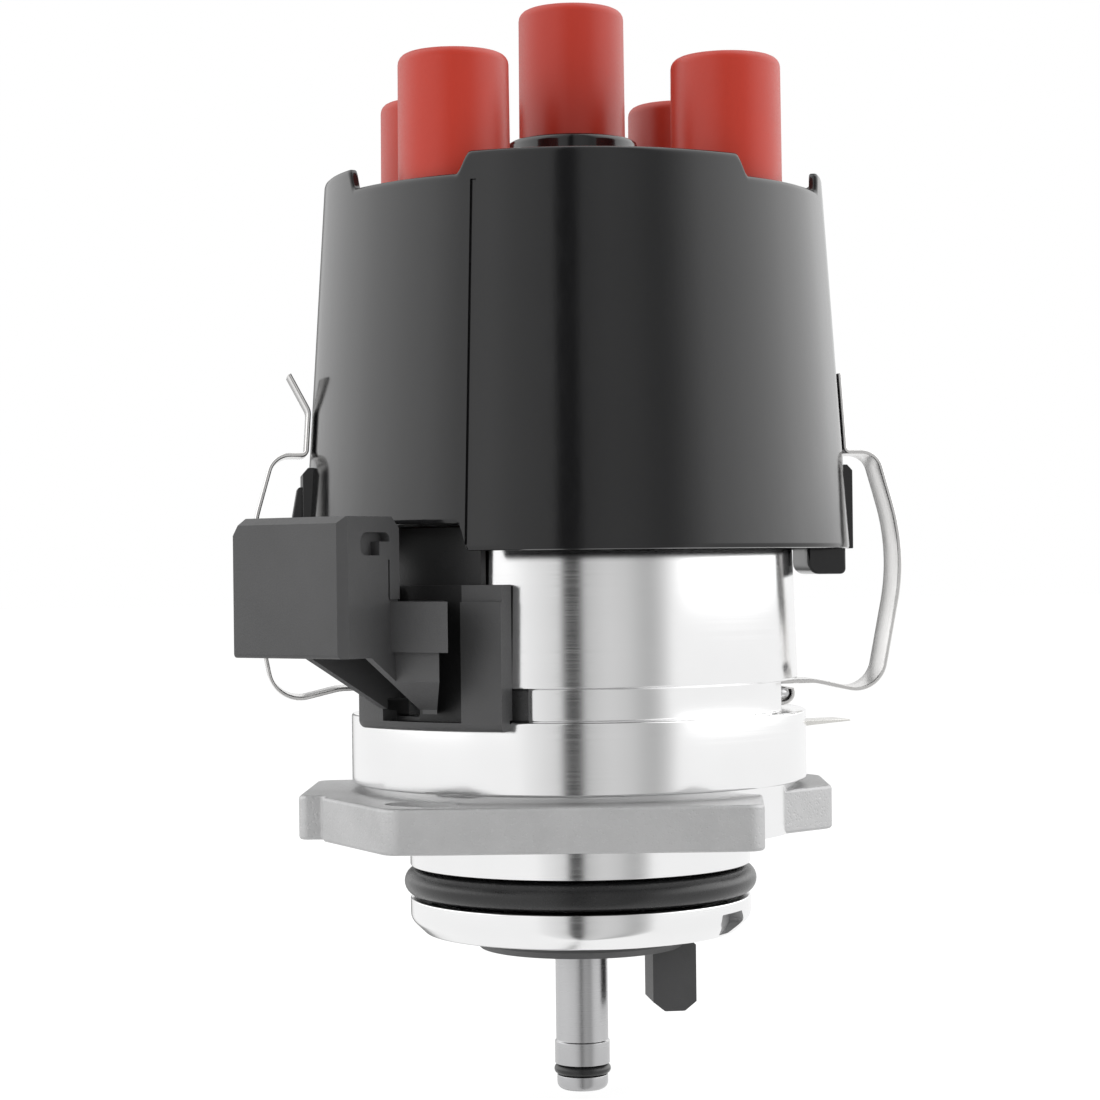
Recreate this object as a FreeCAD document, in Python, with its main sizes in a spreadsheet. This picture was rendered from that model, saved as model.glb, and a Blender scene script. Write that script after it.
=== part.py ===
import FreeCAD, Part
import math
import os
import Sketcher

# Ignition distributor with a screened cap, a Hall sender and an offset-lug drive.
# Millimetres and degrees. The shaft axis is Z, the flange seats at Z = 0 and the cap points to +Z.
# An azimuth is counted from -Y, the front, towards +X. Every driving size is a cell of the sheet.

HOUSING_SIZES = {
    "pilot_radius": 26.1,
    "pilot_length": 15.4,
    "pilot_lead_in": 2.2,
    "seal_section": 4.3,
    "seal_stand_out": 0.9,
    "seal_depth": 7.6,
    "seal_side_gap": 0.3,
    "notch_turn": 54.0,
    "notch_width": 7.4,
    "notch_top": 11.6,
    "notch_low": 14.9,
    "notch_depth": 2.6,
    "flange_thick": 6.6,
    "flange_turn": -8.0,
    "flange_front": 38.0,
    "flange_half_width": 27.0,
    "ear_reach_left": 41.8,
    "ear_reach_right": 38.4,
    "ear_half_depth": 14.5,
    "corner_round": 2.5,
    "slot_circle": 38.7,
    "slot_half_width": 3.1,
    "slot_azimuth": -35.3,
    "slot_half_sweep": 4.2,
    "relief_radius": 33.2,
    "relief_height": 1.1,
    "skirt_radius": 34.8,
    "skirt_top": 18.2,
    "band_radius": 32.2,
    "band_height": 4.6,
    "barrel_radius": 33.6,
    "barrel_top_radius": 32.8,
    "barrel_top": 47.0,
    "edge_break": 0.4,
    "floor_level": 4.0,
    "lower_cavity_radius": 23.5,
    "plate_cavity_radius": 28.8,
    "cover_cavity_radius": 30.2,
    "plate_level": 26.0,
    "cover_level": 43.0,
    "bearing_tube_radius": 11.0,
    "bearing_tube_top": 22.0,
    "coupling_recess_radius": 17.6,
    "coupling_recess_depth": 3.0,
    "pocket_floor": 28.6,
    "pocket_half_width": 16.0,
}

DRIVE_SIZES = {
    "shaft_radius": 4.0,
    "shaft_end_radius": 4.2,
    "shaft_end_length": 7.5,
    "shaft_tip": 40.0,
    "shaft_top_drop": 0.5,
    "tip_seal_section": 1.5,
    "tip_seal_height": 3.1,
    "bush_radius": 7.0,
    "bush_length": 11.0,
    "running_gap": 0.03,
    "end_float": 0.3,
    "washer_thick": 0.8,
    "washer_radius": 7.5,
    "coupling_radius": 16.5,
    "coupling_bottom": 17.9,
    "lug_inner": 10.5,
    "lug_outer": 17.2,
    "lug_half_width": 3.9,
    "lug_bottom": 28.0,
    "lug_bevel": 1.8,
    "pin_radius": 1.5,
    "clip_ring_thick": 0.8,
    "clip_ring_radius": 6.2,
    "clip_ring_depth": 0.6,
    "wheel_hub_radius": 7.5,
    "wheel_radius": 23.0,
    "wheel_sheet": 1.0,
    "wheel_drop": 2.0,
    "vane_gap": 0.6,
    "vane_count": 4.0,
    "window_sweep": 50.0,
    "rotor_hub_radius": 11.0,
    "rotor_seat_gap": 1.0,
    "rotor_level": 60.5,
    "rotor_thick": 5.5,
    "rotor_tip_gap": 0.8,
    "rotor_tip_lap": 1.8,
    "rotor_half_width": 6.0,
    "counterweight_radius": 15.0,
    "contact_thick": 0.8,
    "resistor_radius": 1.9,
}

CAP_SIZES = {
    "tower_inset": 7.4,
    "tower_radius": 8.05,
    "tower_top": 114.6,
    "centre_tower_top": 125.5,
    "tower_round": 1.6,
    "lead_bore": 5.0,
    "lead_depth": 16.0,
    "cup_depth": 8.0,
    "cup_radius": 4.0,
    "cup_wall": 0.8,
    "cap_gap": 3.0,
    "cap_taper": 1.0,
    "cap_wall": 3.2,
    "cap_roof_top": 90.0,
    "cap_roof": 4.0,
    "cap_spigot": 2.4,
    "spigot_gap": 0.2,
    "post_radius": 3.0,
    "post_reach": 2.0,
    "post_boss_radius": 5.2,
    "post_boss_gap": 4.0,
    "brush_radius": 2.45,
    "brush_gap": 0.05,
    "brush_length": 10.5,
    "brush_stand": 0.3,
    "brush_travel": 2.5,
    "brush_boss_radius": 6.0,
    "brush_boss_gap": 6.5,
    "spring_wire": 0.45,
    "shield_radius": 41.7,
    "shield_taper": 3.7,
    "shield_bottom": 42.5,
    "shield_rim": 98.8,
    "shield_low_rim": 95.7,
    "shield_wall": 1.9,
    "shield_rim_wall": 1.3,
    "shield_roof": 2.0,
    "shield_boss_radius": 10.0,
    "shield_boss_top": 105.3,
    "tower_gap": 0.2,
    "dip_azimuth": 49.0,
    "dip_half_width": 11.4,
    "notch_azimuth": -45.0,
    "notch_half_width": 10.7,
    "notch_height": 3.8,
    "pad_half_width": 6.0,
    "pad_top": 55.4,
    "pad_stand": 1.2,
    "boss_top": 52.6,
    "boss_low": 46.4,
    "boss_stand": 2.4,
    "boss_half_width": 3.2,
    "seam_azimuth": -29.2,
    "seam_width": 0.9,
    "seam_depth": 0.45,
    "tab_inset": 0.7,
    "tab_depth": 6.0,
    "tab_bottom": 38.6,
    "tab_half_width": 5.5,
}

SENDER_SIZES = {
    "sender_azimuth": -35.0,
    "plate_thick": 1.5,
    "plate_bore": 13.0,
    "cover_thick": 1.5,
    "cover_bore": 13.0,
    "side_gap": 0.1,
    "screw_circle": 26.2,
    "screw_azimuth": 60.0,
    "screw_radius": 1.5,
    "screw_length": 8.0,
    "screw_head_radius": 2.5,
    "screw_head_height": 1.3,
    "block_inner": 16.5,
    "block_outer": 28.2,
    "block_half_width": 6.0,
    "block_bridge": 2.4,
    "air_gap": 1.3,
    "magnet_thick": 1.6,
    "lead_radius": 1.7,
    "lead_bend": 4.0,
    "connector_azimuth": -44.0,
    "socket_gap": 2.3,
    "socket_width": 12.0,
    "socket_mouth": -19.1,
    "socket_back": 1.4,
    "socket_bottom": 27.8,
    "socket_top": 47.4,
    "socket_wall": 1.6,
    "socket_floor": 3.6,
    "socket_bevel": 1.6,
    "socket_edge": 1.1,
    "latch_half_width": 3.1,
    "latch_drop": 2.2,
    "latch_height": 3.2,
    "latch_depth": 1.6,
    "foot_stand": 4.9,
    "foot_sweep": 40.0,
    "foot_bottom": 17.0,
    "foot_top": 37.7,
    "foot_step": 2.4,
    "recess_stand": 2.4,
    "recess_sweep": 21.6,
    "recess_low": 18.3,
    "neck_stand": 1.6,
    "neck_sweep": 27.0,
    "neck_top": 45.9,
    "rib_thick": 1.2,
    "window_azimuth": -6.8,
    "window_half_width": 2.4,
    "window_low": 18.9,
    "window_top": 21.6,
    "arm_lap": 2.0,
    "arm_end": 11.6,
    "arm_bottom": 28.5,
    "arm_top": 35.5,
    "gusset_low": 20.1,
    "gusset_far": -7.1,
    "blade_length": 10.5,
    "blade_width": 2.8,
    "blade_thick": 0.8,
    "blade_pitch": 5.0,
    "grommet_start": -42.0,
    "grommet_end": -20.0,
    "grommet_rim": 33.5,
}

CLIP_SIZES = {
    "strip_thick": 0.6,
    "strip_width": 9.0,
    "eye_centre": 31.1,
    "eye_radius": 1.65,
    "bow_reach": 50.9,
    "bow_level": 42.0,
    "bow_round": 40.0,
    "hook_level": 57.4,
    "hook_gap": 0.35,
    "finger_level": 64.0,
    "finger_rise": 5.5,
    "left_finger_lean": 2.9,
    "right_finger_lean": -0.4,
    "staple_wire": 0.9,
    "staple_half_span": 5.9,
    "staple_leg": 6.3,
    "earth_azimuth": 104.0,
    "earth_level": 14.9,
    "earth_reach": 45.3,
    "earth_width": 6.3,
    "earth_thick": 0.9,
    "earth_seat": 2.5,
}

SIZES = {**HOUSING_SIZES, **DRIVE_SIZES, **CAP_SIZES, **SENDER_SIZES, **CLIP_SIZES}

doc = FreeCAD.newDocument("Distributor")
Vector = FreeCAD.Vector
Z_AXIS = Vector(0, 0, 1)


class Term:
    """A size: the text that binds it to the sheet, and the number it has now."""

    def __init__(self, text, value):
        self.text = text
        self.value = value

    def __add__(self, other):
        return joined(self, "+", other)

    def __radd__(self, other):
        return joined(other, "+", self)

    def __sub__(self, other):
        return joined(self, "-", other)

    def __rsub__(self, other):
        return joined(other, "-", self)

    def __mul__(self, other):
        return joined(self, "*", other)

    def __rmul__(self, other):
        return joined(other, "*", self)

    def __truediv__(self, other):
        return joined(self, "/", other)

    def __neg__(self):
        return joined(0.0, "-", self)


def as_term(value):
    """The value as a Term, whether it is one or a plain number."""
    if isinstance(value, Term):
        return value
    return Term(f"{float(value):.6f}", float(value))


def joined(left, sign, right):
    """The sum, difference, product or quotient of two sizes."""
    left = as_term(left)
    right = as_term(right)
    results = {
        "+": lambda: left.value + right.value,
        "-": lambda: left.value - right.value,
        "*": lambda: left.value * right.value,
        "/": lambda: left.value / right.value,
    }
    return Term(f"({left.text} {sign} {right.text})", results[sign]())


def sine(angle):
    angle = as_term(angle)
    return Term(f"sin({angle.text})", math.sin(math.radians(angle.value)))


def cosine(angle):
    angle = as_term(angle)
    return Term(f"cos({angle.text})", math.cos(math.radians(angle.value)))


class SizeSheet:
    """The spreadsheet of driving sizes; each alias reads as a Term."""

    def __init__(self, sizes):
        self.sheet = doc.addObject("Spreadsheet::Sheet", "Sizes")
        for row, (alias, value) in enumerate(sizes.items(), start=1):
            self.sheet.set(f"A{row}", alias)
            self.sheet.set(f"B{row}", str(value))
            self.sheet.setAlias(f"B{row}", alias)
        doc.recompute()

    def __getattr__(self, alias):
        return Term(f"Sizes.{alias}", float(self.sheet.get(alias)))


S = SizeSheet(SIZES)


def bind(item, path, value):
    """Bind a property of a document object to a size."""
    item.setExpression(path, as_term(value).text)


# Sketches and features


def new_body(label):
    body = doc.addObject("PartDesign::Body", label)
    body.Label = label
    return body


def origin_item(body, role):
    return [item for item in body.Origin.OriginFeatures if item.Role == role][0]


def new_sketch(body, name, role, lift=None):
    """A sketch on an origin plane, lifted along the plane's normal."""
    sketch = body.newObject("Sketcher::SketchObject", f"{body.Name}_{name}")
    sketch.AttachmentSupport = [(origin_item(body, role), "")]
    sketch.MapMode = "FlatFace"
    if lift is not None:
        bind(sketch, ".AttachmentOffset.Base.z", lift)
    return sketch


def radial_sketch(body, name, azimuth, distance):
    """An upright sketch that faces outwards at an azimuth: x runs round the axis and y is the height."""
    sketch = new_sketch(body, name, "XZ_Plane")
    sketch.AttachmentOffset = FreeCAD.Placement(Vector(), FreeCAD.Rotation(Vector(0, 1, 0), 1.0))
    bind(sketch, ".AttachmentOffset.Rotation.Angle", azimuth)
    bind(sketch, ".AttachmentOffset.Base.x", distance * sine(azimuth))
    bind(sketch, ".AttachmentOffset.Base.z", distance * cosine(azimuth))
    return sketch


def fix_point(sketch, geometry, end, x, y):
    """Hold a point of the sketch at two sizes."""
    for kind, axis, value in (("DistanceX", -2, as_term(x)), ("DistanceY", -1, as_term(y))):
        if value.text == "0.000000":
            sketch.addConstraint(Sketcher.Constraint("PointOnObject", geometry, end, axis))
            continue
        row = sketch.addConstraint(Sketcher.Constraint(kind, -1, 1, geometry, end, value.value))
        name = f"{kind}_{geometry}_{end}"
        sketch.renameConstraint(row, name)
        bind(sketch, f"Constraints.{name}", value)


def fix_radius(sketch, geometry, radius):
    row = sketch.addConstraint(Sketcher.Constraint("Radius", geometry, as_term(radius).value))
    name = f"Radius_{geometry}"
    sketch.renameConstraint(row, name)
    bind(sketch, f"Constraints.{name}", radius)


def point_of(vertex):
    return Vector(as_term(vertex[0]).value, as_term(vertex[1]).value, 0)


def round_corner(sketch, before, after, vertex, incoming, outgoing):
    """Join two lines by a tangent arc whose sharp corner stays at the vertex."""
    corner = point_of(vertex)
    radius = as_term(vertex[2]).value
    back = (before - corner).normalize()
    ahead = (after - corner).normalize()
    half = back.getAngle(ahead) / 2
    first = corner + back * (radius / math.tan(half))
    last = corner + ahead * (radius / math.tan(half))
    centre = corner + (back + ahead).normalize() * (radius / math.sin(half))
    turns_left = back.cross(ahead).z < 0
    start, stop = (first, last) if turns_left else (last, first)
    angles = [math.atan2(p.y - centre.y, p.x - centre.x) for p in (start, stop)]
    circle = Part.Circle(centre, Z_AXIS, radius)
    arc = sketch.addGeometry(Part.ArcOfCircle(circle, angles[0], angles[1]), False)
    mark = sketch.addGeometry(Part.Point(corner), True)
    fix_point(sketch, mark, 1, vertex[0], vertex[1])
    sketch.addConstraint(Sketcher.Constraint("PointOnObject", mark, 1, incoming))
    sketch.addConstraint(Sketcher.Constraint("PointOnObject", mark, 1, outgoing))
    ends = (1, 2) if turns_left else (2, 1)
    sketch.addConstraint(Sketcher.Constraint("Tangent", incoming, 2, arc, ends[0]))
    sketch.addConstraint(Sketcher.Constraint("Tangent", arc, ends[1], outgoing, 1))
    fix_radius(sketch, arc, vertex[2])
    return first, last


def trimmed(corner, other, vertex):
    """Where a line ends short of a rounded corner."""
    if len(vertex) < 3:
        return corner
    neighbours = [(p - corner).normalize() for p in other]
    half = neighbours[0].getAngle(neighbours[1]) / 2
    return corner + neighbours[0] * (as_term(vertex[2]).value / math.tan(half))


def chain(sketch, vertices, closed):
    """Lines through the vertices; a vertex with a third value is rounded to that radius."""
    corners = [point_of(vertex) for vertex in vertices]
    count = len(corners)
    lines = []
    for i in range(count if closed else count - 1):
        j = (i + 1) % count
        start = trimmed(corners[i], (corners[j], corners[i - 1]), vertices[i])
        stop = trimmed(corners[j], (corners[i], corners[(j + 1) % count]), vertices[j])
        lines.append(sketch.addGeometry(Part.LineSegment(start, stop), False))
    inner = range(count) if closed else range(1, count - 1)
    for i in inner:
        incoming = lines[i - 1]
        outgoing = lines[i]
        if len(vertices[i]) > 2:
            after = corners[(i + 1) % count]
            round_corner(sketch, corners[i - 1], after, vertices[i], incoming, outgoing)
        else:
            sketch.addConstraint(Sketcher.Constraint("Coincident", incoming, 2, outgoing, 1))
            fix_point(sketch, outgoing, 1, vertices[i][0], vertices[i][1])
    return lines


def outline(sketch, vertices):
    """A closed outline, anticlockwise, with rounded corners where a radius is given."""
    chain(sketch, vertices, closed=True)


def open_path(sketch, vertices):
    """An open path for a pipe, with both ends held."""
    lines = chain(sketch, vertices, closed=False)
    fix_point(sketch, lines[0], 1, vertices[0][0], vertices[0][1])
    fix_point(sketch, lines[-1], 2, vertices[-1][0], vertices[-1][1])


def ring(sketch, x, y, radius):
    centre = Vector(as_term(x).value, as_term(y).value, 0)
    circle = sketch.addGeometry(Part.Circle(centre, Z_AXIS, as_term(radius).value), False)
    fix_radius(sketch, circle, radius)
    fix_point(sketch, circle, 3, x, y)


def rectangle(sketch, left, bottom, right, top):
    outline(sketch, [(left, bottom), (right, bottom), (right, top), (left, top)])


def revolve(body, name, vertices, sweep=None):
    """Turn an outline of (radius, height) vertices about the axis."""
    sketch = new_sketch(body, name, "XZ_Plane")
    outline(sketch, vertices)
    turn = body.newObject("PartDesign::Revolution", f"{body.Name}_{name}_turned")
    turn.Profile = (sketch, [""])
    turn.ReferenceAxis = (sketch, ["V_Axis"])
    turn.Angle = 360
    if sweep is not None:
        turn.Midplane = True
        bind(turn, "Angle", sweep)
    return turn


def pad(body, sketch, length, both_ways=False, backwards=False):
    item = body.newObject("PartDesign::Pad", f"{sketch.Name}_pad")
    item.Profile = (sketch, [""])
    item.Midplane = both_ways
    item.Reversed = backwards
    bind(item, "Length", length)
    return item


def pocket(body, sketch, length, backwards=False, both_ways=False):
    """Cut a sketch into the body and make sure that it removed something."""
    doc.recompute()
    before = body.Shape.Volume
    item = body.newObject("PartDesign::Pocket", f"{sketch.Name}_cut")
    item.Profile = (sketch, [""])
    item.Reversed = backwards
    item.Midplane = both_ways
    bind(item, "Length", length)
    doc.recompute()
    if not body.Shape.Volume < before - 1e-3:
        raise RuntimeError(f"{sketch.Name} cuts nothing")
    return item


def groove(body, name, vertices, sweep):
    """Turn a cut part of the way round the axis and make sure that it removed something."""
    doc.recompute()
    before = body.Shape.Volume
    sketch = new_sketch(body, name, "XZ_Plane")
    outline(sketch, vertices)
    item = body.newObject("PartDesign::Groove", f"{body.Name}_{name}_turned")
    item.Profile = (sketch, [""])
    item.ReferenceAxis = (sketch, ["V_Axis"])
    item.Midplane = True
    bind(item, "Angle", sweep)
    doc.recompute()
    if not body.Shape.Volume < before - 1e-3:
        raise RuntimeError(f"{sketch.Name} cuts nothing")
    return item


def pipe(body, name, path, profile):
    doc.recompute()
    item = body.newObject("PartDesign::AdditivePipe", f"{body.Name}_{name}")
    item.Profile = (profile, [""])
    item.Spine = (path, [f"Edge{i + 1}" for i in range(len(path.Shape.Edges))])
    return item


def turn_about_axis(item, angle):
    """Turn a finished piece about the shaft axis to its place."""
    item.Placement = FreeCAD.Placement(Vector(), FreeCAD.Rotation(Z_AXIS, 1.0))
    bind(item, ".Placement.Rotation.Angle", angle)


def repeat_round(body, feature, count):
    """Repeat a feature evenly round the axis."""
    pattern = body.newObject("PartDesign::PolarPattern", f"{feature.Name}_round")
    pattern.Originals = [feature]
    pattern.Axis = (origin_item(body, "Z_Axis"), [""])
    pattern.Angle = 360
    bind(pattern, "Occurrences", count)
    body.Tip = pattern
    return pattern


# Levels that several pieces share

RECESS_LEVEL = -S.pilot_length + S.coupling_recess_depth
BAND_TOP = S.skirt_top + S.band_height
EYE_LEVEL = S.skirt_top + S.band_height / 2
SEAL_RING_RADIUS = S.pilot_radius + S.seal_stand_out - S.seal_section / 2
COUPLING_TOP = RECESS_LEVEL - S.end_float - S.washer_thick
UPPER_WASHER_BASE = S.bearing_tube_top + S.end_float
CLIP_RING_BASE = UPPER_WASHER_BASE + S.washer_thick
WHEEL_TOP = S.cover_level - S.wheel_drop
ROTOR_BASE = WHEEL_TOP + S.rotor_seat_gap
ROTOR_TOP = S.rotor_level + S.rotor_thick
SHAFT_TOP = S.rotor_level - S.shaft_top_drop
SHIELD_TOP_RADIUS = S.shield_radius - S.shield_taper
CAP_RADIUS = S.shield_radius - S.shield_wall - S.cap_gap
CAP_TOP_RADIUS = CAP_RADIUS - S.cap_taper
TOWER_CIRCLE = CAP_TOP_RADIUS - S.tower_inset
ROTOR_TIP_RADIUS = TOWER_CIRCLE - S.post_radius - S.rotor_tip_gap
ROTOR_REACH = ROTOR_TIP_RADIUS - S.rotor_tip_lap
POST_BASE = S.rotor_level - S.post_reach
POST_BOSS_BASE = ROTOR_TOP + S.post_boss_gap
BRUSH_BOSS_BASE = ROTOR_TOP + S.brush_boss_gap
BRUSH_BASE = ROTOR_TOP + S.contact_thick + S.brush_stand
BRUSH_TOP = BRUSH_BASE + S.brush_length
CAP_ROOF_BASE = S.cap_roof_top - S.cap_roof
LEAD_PLACE = S.lower_cavity_radius - S.lead_radius - 1.8
SOCKET_INNER = S.shield_radius + S.socket_gap
SOCKET_OUTER = SOCKET_INNER + S.socket_width
FOOT_OUTER = S.barrel_radius + S.foot_stand
CENTRE_POST_BASE = BRUSH_TOP + S.brush_travel + 6.0 * S.spring_wire


def shield_radius_at(height):
    """Outer radius of the tapered shield at a height."""
    share = (height - S.shield_bottom) / (S.shield_rim - S.shield_bottom)
    return S.shield_radius - S.shield_taper * share


# The cast housing and what is pressed into it


def housing_outline():
    """Half section of the housing from the bush bore, round the outside and back through the cavity."""
    groove_half = S.seal_section / 2 + S.seal_side_gap
    groove_floor = SEAL_RING_RADIUS - S.seal_section / 2
    return [
        (S.bush_radius, RECESS_LEVEL),
        (S.coupling_recess_radius, RECESS_LEVEL),
        (S.coupling_recess_radius, -S.pilot_length),
        (S.pilot_radius - S.pilot_lead_in, -S.pilot_length),
        (S.pilot_radius, -S.pilot_length + S.pilot_lead_in, 2.0),
        (S.pilot_radius, -S.seal_depth - groove_half),
        (groove_floor, -S.seal_depth - groove_half),
        (groove_floor, -S.seal_depth + groove_half),
        (S.pilot_radius, -S.seal_depth + groove_half),
        (S.pilot_radius, 0),
        (S.relief_radius, 0),
        (S.relief_radius, S.flange_thick + S.relief_height),
        (S.skirt_radius, S.flange_thick + S.relief_height),
        (S.skirt_radius, S.skirt_top - S.edge_break),
        (S.skirt_radius - S.edge_break, S.skirt_top),
        (S.band_radius, S.skirt_top),
        (S.band_radius, BAND_TOP),
        (S.barrel_radius - S.edge_break, BAND_TOP),
        (S.barrel_radius, BAND_TOP + S.edge_break),
        (S.barrel_top_radius, S.barrel_top),
        (S.cover_cavity_radius, S.barrel_top),
        (S.cover_cavity_radius, S.cover_level),
        (S.plate_cavity_radius, S.cover_level),
        (S.plate_cavity_radius, S.plate_level),
        (S.lower_cavity_radius, S.plate_level),
        (S.lower_cavity_radius, S.floor_level, 2.0),
        (S.bearing_tube_radius, S.floor_level, 2.0),
        (S.bearing_tube_radius, S.bearing_tube_top),
        (S.bush_radius, S.bearing_tube_top),
    ]


def flange_outline():
    """Outline of the flange in its own frame: x to the right ear, y away from the front."""
    front = -S.flange_front
    width = S.flange_half_width
    depth = S.ear_half_depth
    left = -S.ear_reach_left
    right = S.ear_reach_right
    bevel = S.flange_front * 0.53
    rounding = S.corner_round
    return [
        (left, -depth, 1.5),
        (left + 4.0, -depth, 0.8),
        (left + 4.0, -depth - 3.0, 1.2),
        (-width, front, rounding + 1.0),
        (width - 1.0, front + 1.2, rounding),
        (width, -depth - 2.0, 2.0),
        (right, -depth * 0.35, rounding + 1.5),
        (right, depth, rounding),
        (right - 3.0, bevel, rounding),
        (width, -front, rounding + 1.0),
        (-width + 1.0, -front, rounding),
        (-width, depth + 2.0, 2.0),
        (left, depth, rounding),
    ]


def kidney_slot(sketch, azimuth):
    """A slot bent round the axis, so that the housing can be turned to set the timing."""
    middle = S.slot_circle
    half = S.slot_half_width
    low = azimuth - S.slot_half_sweep
    high = azimuth + S.slot_half_sweep
    angles = [math.radians(side.value - 90) for side in (low, high)]
    centres = [(middle * sine(side), -(middle * cosine(side))) for side in (low, high)]
    inner = Part.Circle(Vector(), Z_AXIS, (middle - half).value)
    outer = Part.Circle(Vector(), Z_AXIS, (middle + half).value)
    start = Part.Circle(point_of(centres[0]), Z_AXIS, half.value)
    stop = Part.Circle(point_of(centres[1]), Z_AXIS, half.value)
    inner = sketch.addGeometry(Part.ArcOfCircle(inner, angles[0], angles[1]), False)
    outer = sketch.addGeometry(Part.ArcOfCircle(outer, angles[0], angles[1]), False)
    start = sketch.addGeometry(Part.ArcOfCircle(start, angles[0] + math.pi, angles[0] + 2 * math.pi), False)
    stop = sketch.addGeometry(Part.ArcOfCircle(stop, angles[1], angles[1] + math.pi), False)
    for arc in (inner, outer):
        sketch.addConstraint(Sketcher.Constraint("Coincident", arc, 3, -1, 1))
    fix_radius(sketch, outer, middle + half)
    fix_radius(sketch, stop, half)
    sketch.addConstraint(Sketcher.Constraint("Tangent", inner, 1, start, 1))
    sketch.addConstraint(Sketcher.Constraint("Tangent", start, 2, outer, 1))
    sketch.addConstraint(Sketcher.Constraint("Tangent", outer, 2, stop, 1))
    sketch.addConstraint(Sketcher.Constraint("Tangent", stop, 2, inner, 2))
    for arc, centre in ((start, centres[0]), (stop, centres[1])):
        row = sketch.addConstraint(Sketcher.Constraint("DistanceX", -1, 1, arc, 3, centre[0].value))
        sketch.renameConstraint(row, f"Centre_{arc}")
        bind(sketch, f"Constraints.Centre_{arc}", centre[0])


def make_housing():
    body = new_body("housing")
    revolve(body, "section", housing_outline())
    flange = new_sketch(body, "flange", "XY_Plane")
    flange.AttachmentOffset = FreeCAD.Placement(Vector(), FreeCAD.Rotation(Z_AXIS, 1.0))
    bind(flange, ".AttachmentOffset.Rotation.Angle", S.flange_turn)
    outline(flange, flange_outline())
    # The flange is a ring in plan, so that the bearing tube and cavity stay as they are turned.
    ring(flange, 0, 0, S.relief_radius - 2.0)
    pad(body, flange, S.flange_thick)
    slots = new_sketch(body, "slots", "XY_Plane")
    slots.AttachmentOffset = FreeCAD.Placement(Vector(), FreeCAD.Rotation(Z_AXIS, 1.0))
    bind(slots, ".AttachmentOffset.Rotation.Angle", S.flange_turn)
    kidney_slot(slots, S.slot_azimuth)
    kidney_slot(slots, S.slot_azimuth + 180)
    pocket(body, slots, S.flange_thick, backwards=True)
    for side in (-1, 1):
        cut_clip_pocket(body, side)
        cut_staple_holes(body, side)
        cut_screw_hole(body, side)
    cut_lead_hole(body)
    cut_pilot_notch(body)
    cut_earth_slot(body)
    return body


def cut_clip_pocket(body, side):
    """The flat cut in the band where a clip's eye turns."""
    name = "left" if side < 0 else "right"
    sketch = new_sketch(body, f"{name}_pocket", "XY_Plane", S.skirt_top)
    near = side * S.pocket_floor
    far = side * (S.skirt_radius + 2.0)
    half = S.pocket_half_width
    if side > 0:
        rectangle(sketch, near, -half, far, half)
    else:
        rectangle(sketch, far, -half, near, half)
    pocket(body, sketch, S.band_height, backwards=True)


def cut_staple_holes(body, side):
    """The two blind holes that take the legs of the staple that holds the eye."""
    name = "left" if side < 0 else "right"
    sketch = new_sketch(body, f"{name}_staple_holes", "YZ_Plane", side * S.pocket_floor)
    for end in (-1, 1):
        ring(sketch, end * S.staple_half_span, EYE_LEVEL, S.staple_wire)
    pocket(body, sketch, S.staple_leg - (S.eye_centre - S.pocket_floor), backwards=side < 0)


def cut_screw_hole(body, side):
    """A tapped hole for one of the sender plate's screws."""
    name = "left" if side < 0 else "right"
    azimuth = S.screw_azimuth + (180 if side < 0 else 0)
    sketch = new_sketch(body, f"{name}_screw_hole", "XY_Plane", S.plate_level)
    ring(sketch, S.screw_circle * sine(azimuth), -(S.screw_circle * cosine(azimuth)), S.screw_radius)
    pocket(body, sketch, S.screw_length)


def cut_lead_hole(body):
    """The hole through the wall for the sender's lead."""
    sketch = radial_sketch(body, "lead_hole", S.sender_azimuth, S.lower_cavity_radius - 2.0)
    ring(sketch, 0, EYE_LEVEL, S.lead_radius + S.side_gap)
    pocket(body, sketch, S.skirt_radius - S.lower_cavity_radius + 4.0, backwards=True)


def cut_pilot_notch(body):
    """The six-sided blind notch in the pilot's lower land."""
    sketch = radial_sketch(body, "notch", S.notch_turn, S.pilot_radius - S.notch_depth)
    half = S.notch_width / 2
    low = -S.notch_low
    high = -S.notch_top
    shoulder = (low + high) / 2
    outline(sketch, [
        (-half * 0.8, low, 0.4),
        (half * 0.3, low, 0.4),
        (half, shoulder, 0.4),
        (half * 0.7, high, 0.4),
        (-half * 0.3, high, 0.4),
        (-half, shoulder, 0.4),
    ])
    pocket(body, sketch, S.notch_depth + 1.0, backwards=True)


def cut_earth_slot(body):
    """The slot in the skirt that holds the earth blade."""
    sketch = radial_sketch(body, "earth_slot", S.earth_azimuth, S.skirt_radius - S.earth_seat)
    half = S.earth_width / 2
    low = S.earth_level - S.earth_thick / 2
    rectangle(sketch, -half, low, half, low + S.earth_thick)
    pocket(body, sketch, S.earth_seat + 2.0, backwards=True)


def make_ring_seal(label, radius, section, level):
    """A round-section sealing ring in its groove."""
    seal = doc.addObject("Part::Torus", label)
    seal.Label = label
    bind(seal, "Radius1", radius)
    bind(seal, "Radius2", section / 2)
    bind(seal, ".Placement.Base.z", level)
    return seal


def make_bush(label, base):
    """A sintered bearing bush with broken edges."""
    body = new_body(label)
    bore = S.shaft_radius + S.running_gap
    top = base + S.bush_length
    edge = S.edge_break
    revolve(body, "section", [
        (bore, base),
        (S.bush_radius - edge, base),
        (S.bush_radius, base + edge),
        (S.bush_radius, top),
        (bore, top),
    ])
    return body


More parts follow.
